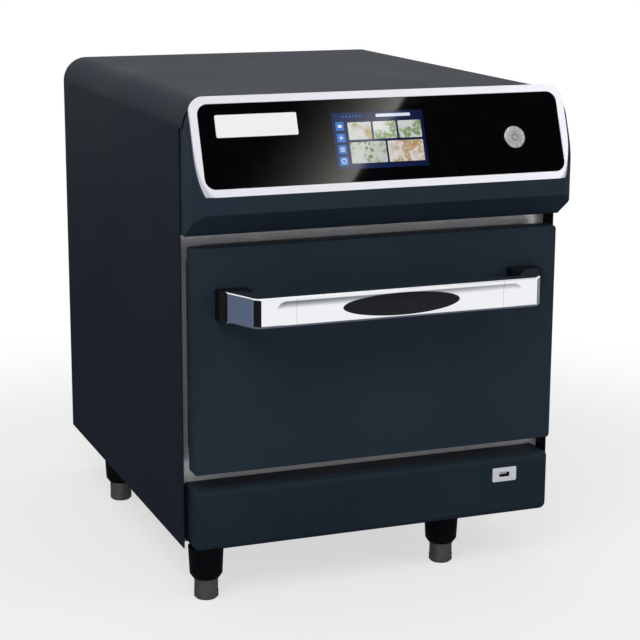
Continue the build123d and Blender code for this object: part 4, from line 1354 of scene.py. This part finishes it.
@dataclass
class Door:
    """The drop-down door: painted skin, black inner pan, steel plug, seal and hinge works."""

    edge: float = 0.0006
    pan_edge: float = 0.0008
    seal_base: float = 0.3
    seal_crown: float = 2.2
    seal_half_band: float = 7.6
    seal_corner: float = 12.0
    groove_share: float = 0.25
    groove_half: float = 0.22
    smooth: float = 50.0

    def build(self) -> None:
        """Dress the panels, model the seal, and build the handle."""
        softened("door_outer_panel", "door_skin", Palette.door, Body.DOOR, self.edge)
        softened("door_inner_pan", "door_pan", Palette.black_sheet, Body.DOOR, self.pan_edge)
        dress(Palette.plug_steel, "door_plug", "latch_hooks")
        dress(Palette.arm_steel, "hinge_pins", "hinge_cheeks", "door_choke")
        dress(Palette.wool, "door_insulation")
        dress(Palette.spring, "hinge_springs")
        self.build_seal()
        Handle().build()

    def build_seal(self) -> None:
        """Sweep the seal round the plug: a base under a half ellipse with a groove in its crown."""
        low, high = lowest("door_seal") / MM, highest("door_seal") / MM
        centre = (low + high) / 2
        half_width, thickness, half_high = (high - low) / [2, 1, 2]
        span = np.linspace(-1.0, 1.0, 21)
        groove = self.groove_share * np.exp(-(span / self.groove_half) ** 2)
        crown = np.sqrt(1 - span ** 2) * (1 - groove) * self.seal_crown
        offset = np.concatenate([span, [1.0, -1.0]]) * self.seal_half_band
        height = np.concatenate([crown + self.seal_base, [0.0, 0.0]])
        rings = []
        for shift, rise in zip(offset, height):
            grow = shift - self.seal_half_band
            ring = rounded_outline(
                half_width + grow, half_high + grow, self.seal_corner + shift, 10,
            )
            y = low[1] + rise * thickness / (self.seal_crown + self.seal_base)
            depth = np.full(len(ring), y)
            rings.append(np.column_stack([centre[0] + ring[:, 0], depth, centre[2] + ring[:, 1]]))
        shell = Shell.tube(np.stack(rings) * MM, capped=False, looped=True)
        make_piece("door_gasket", shell, Palette.seal, Body.DOOR, self.smooth, ("door_seal",))


@dataclass
class Works:
    """The cavity and everything behind it, which shows through the open door and the rear."""

    def build(self) -> None:
        """Dress each node of the works."""
        dress(Palette.liner_steel, "cavity_liner", "jet_plate", "tray_rails", "blower_box")
        dress(Palette.arm_steel, "hinge_arms", "heater_coil", "blower_wheel", "mode_stirrer")
        dress(Palette.arm_steel, "exhaust_cleaner", "exhaust_duct")
        dress(Palette.wool, "insulation_jacket")
        dress(Palette.ceramic, "cooking_tray")
        dress(Palette.cast, "blower_motor", "magnetron", "waveguide")
        dress(Palette.cast, "power_transformer", "capacitor")
        dress(Palette.plastic, "stirrer_motor", "terminal_block", "cable_gland", "door_switches")
        dress(Palette.plastic, "fan_frame", "fan_rotor")
        dress(Palette.wire, "fan_guard")


@dataclass
class RearScrews:
    """Domed screws with a cross recess, round the rear panel's edge."""

    radius: float = 4.0
    dome: float = 1.0
    rim: float = 0.8
    slot_half: float = 0.55
    slot_reach: float = 2.3
    slot_depth: float = 1.0
    start: float = 20.0
    pitch: float = 143.0
    rows: int = 4
    top_inset: float = 80.0

    def head(self) -> Shell:
        """Make one head on a polar grid.

        Its height is the rim plus a dome that falls with the square of the radius, less the
        recess where the point lies inside either arm of a cross.

        Returns:
            The closed shell about local Z, in millimetres.
        """
        radii = np.array([0.05, 0.35, 0.54, 0.58, 1.1, 1.7, 2.28, 2.34, 3.2, 3.8, 4.0, 4.0])
        radii = radii[:, None]
        angles = np.linspace(0, math.tau, 64, endpoint=False)[None, :]
        x, y = radii * np.cos(angles), radii * np.sin(angles)
        arm = np.minimum(np.abs(x), np.abs(y)) < self.slot_half
        recess = self.slot_depth * (arm & (radii < self.slot_reach))
        height = self.rim + self.dome * (1 - (radii / self.radius) ** 2) - recess
        height[-1] = 0.0
        return Shell.tube(np.stack([x, y, height], axis=-1))

    def build(self) -> None:
        """Set a head on each place of the frame's screws."""
        low, high = lowest("rear_screws") / MM, highest("rear_screws") / MM
        base = lowest("rear_panel")[2] / MM
        side = high[0] - self.radius
        top = highest("rear_panel")[0] / MM - self.top_inset
        heights = [base + self.start + self.pitch * row for row in range(self.rows)]
        spots = [(sign * side, height) for sign in (-1, 1) for height in heights]
        spots += [(across, high[2] - self.radius) for across in (-top, top)]
        heads = []
        for across, up in spots:
            place = np.array([across, low[1], up])
            heads.append(self.head().mapped(lambda points: (points[:, [0, 2, 1]] + place) * MM))
        make_piece(
            "rear_screw_heads", Shell.joined(heads), Palette.screw, Body.CABINET, 30.0,
            ("rear_screws",),
        )


# Studio

@dataclass
class Studio:
    """The pale floor, the white surroundings, the soft lamps and the camera."""

    camera_place: tuple[float, float, float] = (-0.7654, -2.0290, 0.7598)
    yaw: float = math.radians(21.20)
    pitch: float = math.radians(13.18)
    roll: float = math.radians(0.27)
    lens: float = 102.3
    sensor: float = 36.0
    world_fill: float = 0.55
    card_depth: float = -2.4
    card_heights: tuple[float, float] = (1.55, 2.4)
    card_sides: tuple[float, float] = (0.3, 2.0)
    card_edge: tuple[float, float, float] = (0.978, 1.807, 0.846)
    card_fade: float = 0.4
    card_power: float = 3.6
    card_rim: float = 0.012
    card_glow: float = 7.0
    floor_radius: float = 6.0
    floor_tones: tuple[Colour, Colour] = ((0.66, 0.66, 0.67), (0.70, 0.70, 0.70))
    floor_white: tuple[float, float] = (0.64, 1.0)
    white_ease: tuple[float, float] = (0.5, 1.1)
    near_tone: Colour = (0.10, 0.11, 0.14)
    near_ease: tuple[float, float] = (0.52, 1.05)
    bands: tuple[tuple[float, Colour], ...] = (
        (0.0, (0.12, 0.15, 0.22)), (0.022, (0.22, 0.25, 0.32)), (0.042, (0.01, 0.01, 0.015)),
        (0.20, (0.01, 0.01, 0.015)), (0.225, (1.0, 1.0, 1.0)), (0.40, (1.0, 1.0, 1.0)),
        (0.46, (0.22, 0.23, 0.27)), (0.54, (0.22, 0.23, 0.27)), (0.61, (0.8, 0.8, 0.8)),
        (0.75, (0.6, 0.6, 0.6)), (0.78, (0.05, 0.05, 0.06)), (0.917, (0.05, 0.05, 0.06)),
        (0.958, (0.10, 0.13, 0.20)), (1.0, (0.12, 0.15, 0.22)),
    )

    def build(self) -> None:
        """Set up view, world, floor, lamps and camera."""
        bpy.context.scene.view_settings.view_transform = "Standard"
        self.build_world()
        self.build_floor()
        self.build_card()
        self.add_lamp("key_panel", (-1.3, -1.6, 2.2), 1.6, 34.0)
        self.add_lamp("fill_panel", (1.9, -1.3, 1.3), 1.4, 12.0)
        self.add_lamp("top_panel", (0.2, 0.7, 2.4), 1.6, 11.0)
        self.build_camera()

    def build_world(self) -> None:
        """White for camera, glossy and transmission rays; a softer level lights the surfaces."""
        world = bpy.data.worlds.new("studio")
        bpy.context.scene.world = world
        world.use_nodes = True
        tree = world.node_tree
        tree.nodes.clear()
        path = tree.nodes.new("ShaderNodeLightPath")
        either = self.any_ray(tree, path)
        mix = tree.nodes.new("ShaderNodeMixShader")
        out = tree.nodes.new("ShaderNodeOutputWorld")
        tree.links.new(either, mix.inputs[0])
        for slot, level in ((1, self.world_fill), (2, 1.0)):
            light = tree.nodes.new("ShaderNodeBackground")
            light.inputs["Color"].default_value = (1.0, 1.0, 1.0, 1.0)
            light.inputs["Strength"].default_value = level
            tree.links.new(light.outputs[0], mix.inputs[slot])
        tree.links.new(mix.outputs[0], out.inputs["Surface"])

    @staticmethod
    def any_ray(tree: bpy.types.NodeTree, path: bpy.types.Node) -> bpy.types.NodeSocket:
        """Give 1 for camera, glossy or transmission rays, as the largest of the three flags.

        Args:
            tree: the world's node tree.
            path: its Light Path node.

        Returns:
            The socket of the largest flag.
        """
        value = path.outputs["Is Camera Ray"]
        for name in ("Is Glossy Ray", "Is Transmission Ray"):
            larger = tree.nodes.new("ShaderNodeMath")
            larger.operation = "MAXIMUM"
            tree.links.new(value, larger.inputs[0])
            tree.links.new(path.outputs[name], larger.inputs[1])
            value = larger.outputs[0]
        return value

    def build_floor(self) -> None:
        """Lay a round floor: pale paint for light and shadow, near white for the camera.

        Glossy rays see soft bands by compass direction instead, as bright plating shows the cards
        of a studio, and the floor just before the oven is dimmed for them.
        """
        kit = NodeKit("studio_floor")
        across, back, _ = kit.parts(kit.place())
        cloud = kit.noise(3.0, 2.0)
        kit.paint(
            Base_Color=kit.blend(cloud, *self.floor_tones), Roughness=0.9, Specular_IOR_Level=0.1,
        )
        reach = (across * across + back * back) ** 0.5
        bearing = kit.math("ARCTAN2", back, across) * (1 / math.tau) + 0.5
        bands = kit.ramp(bearing, self.bands)
        bands = kit.blend(reach.eased(*self.near_ease), self.near_tone, bands)
        camera = kit.node("ShaderNodeLightPath", {}, {}, "Is Camera Ray")
        glossy = kit.node("ShaderNodeLightPath", {}, {}, "Is Glossy Ray")
        white = kit.node("ShaderNodeEmission", {}, {"Color": (1.0, 1.0, 1.0)})
        cards = kit.node("ShaderNodeEmission", {}, {"Color": bands})
        near, far = self.floor_white
        share = camera * (reach.eased(*self.white_ease) * (far - near) + near)
        paint = Sock(kit, kit.shader.outputs[0])
        lifted = kit.node("ShaderNodeMixShader", {}, {0: share, 1: paint, 2: white})
        surface = kit.node("ShaderNodeMixShader", {}, {0: glossy, 1: lifted, 2: cards})
        kit.feed(kit.output.inputs["Surface"], surface)
        angles = np.linspace(0, math.tau, 96, endpoint=False)
        ring = np.column_stack([np.cos(angles), np.sin(angles), np.zeros_like(angles)])
        self.lay("floor", self.floor_radius * ring, kit.material)

    @staticmethod
    def lay(name: str, corners: np.ndarray, paint: bpy.types.Material) -> bpy.types.Object:
        """Put one flat face of the studio into the scene and give it.

        Args:
            name: the face's name.
            corners: its corners in metres, in order round it.
            paint: its material.

        Returns:
            The new object.
        """
        mesh = bpy.data.meshes.new(name)
        mesh.from_pydata(corners.tolist(), [], [tuple(range(len(corners)))])
        mesh.materials.append(paint)
        flat = bpy.data.objects.new(name, mesh)
        bpy.context.scene.collection.objects.link(flat)
        return flat

    def build_card(self) -> None:
        """Hang the card that the panel's glass shows: black, with a sheen up to a slanted edge.

        The sheen's strength is one minus the distance left of the edge over its fade, raised to
        a power, and nothing right of the edge. Only glossy rays see the card.
        """
        kit = NodeKit("studio_card")
        across, _, up = kit.parts(kit.place())
        place, height, slant = self.card_edge
        inside = up * slant + (place - height * slant) - across
        fall = kit.math("MAXIMUM", 1.0 - inside / self.card_fade, 0.0)
        glow = fall ** self.card_power * inside.eased(0.0, self.card_rim)
        kit.paint(
            Base_Color=BLACK, Roughness=1.0, Specular_IOR_Level=0.0,
            Emission_Color=kit.blend(glow, BLACK, (1.0, 0.98, 0.90)),
            Emission_Strength=self.card_glow,
        )
        low, high = self.card_heights
        left, right = self.card_sides
        corners = [(left, low), (right, low), (right, high), (left, high)]
        points = np.array([(across, self.card_depth, up) for across, up in corners])
        card = self.lay("glass_card", points, kit.material)
        for ray in ("camera", "diffuse", "transmission", "volume_scatter", "shadow"):
            setattr(card, f"visible_{ray}", False)

    @staticmethod
    def hang(
        name: str, data: bpy.types.ID, place: Sequence[float], axes: Sequence[np.ndarray],
    ) -> bpy.types.Object:
        """Put a lamp or a camera into the scene.

        Args:
            name: its name.
            data: its lamp or camera data.
            place: its place in metres.
            axes: the directions of its own right, its own up and its back.

        Returns:
            The new object.
        """
        item = bpy.data.objects.new(name, data)
        bpy.context.scene.collection.objects.link(item)
        turn = Matrix(np.column_stack(axes).tolist()).to_4x4()
        turn.translation = place
        item.matrix_world = turn
        return item

    @staticmethod
    def add_lamp(name: str, place: tuple[float, float, float], size: float, power: float) -> None:
        """Hang a square soft lamp that looks at the oven's middle.

        Args:
            name: the lamp's name.
            place: its place in metres.
            size: its side in metres.
            power: its power in watts.
        """
        data = bpy.data.lights.new(name, "AREA")
        data.size = size
        data.energy = power
        aim = np.array(OVEN_MIDDLE) - np.array(place)
        aim = aim / np.linalg.norm(aim)
        side = np.cross(aim, [0.0, 0.0, 1.0])
        side = side / np.linalg.norm(side)
        Studio.hang(name, data, place, (side, np.cross(side, aim), -aim))

    def build_camera(self) -> None:
        """Place the camera from its yaw, pitch and roll, with no shift."""
        data = bpy.data.cameras.new("view")
        data.lens = self.lens
        data.sensor_width = self.sensor
        ahead = np.array([
            math.sin(self.yaw) * math.cos(self.pitch), math.cos(self.yaw) * math.cos(self.pitch),
            -math.sin(self.pitch),
        ])
        right = np.array([math.cos(self.yaw), -math.sin(self.yaw), 0.0])
        up = np.cross(right, ahead)
        right_rolled = math.cos(self.roll) * right + math.sin(self.roll) * up
        up_rolled = -math.sin(self.roll) * right + math.cos(self.roll) * up
        axes = (right_rolled, up_rolled, -ahead)
        bpy.context.scene.camera = self.hang("view", data, self.camera_place, axes)


def main() -> None:
    """Build the oven's sub-assemblies and the studio."""
    logging.basicConfig(level=logging.INFO, format="%(name)s: %(message)s")
    for part in (Casing(), Legs(), ControlHood(), Door(), Works(), RearScrews(), Studio()):
        LOG.info("building %s", type(part).__name__)
        part.build()


if __name__ == "__main__":
    main()
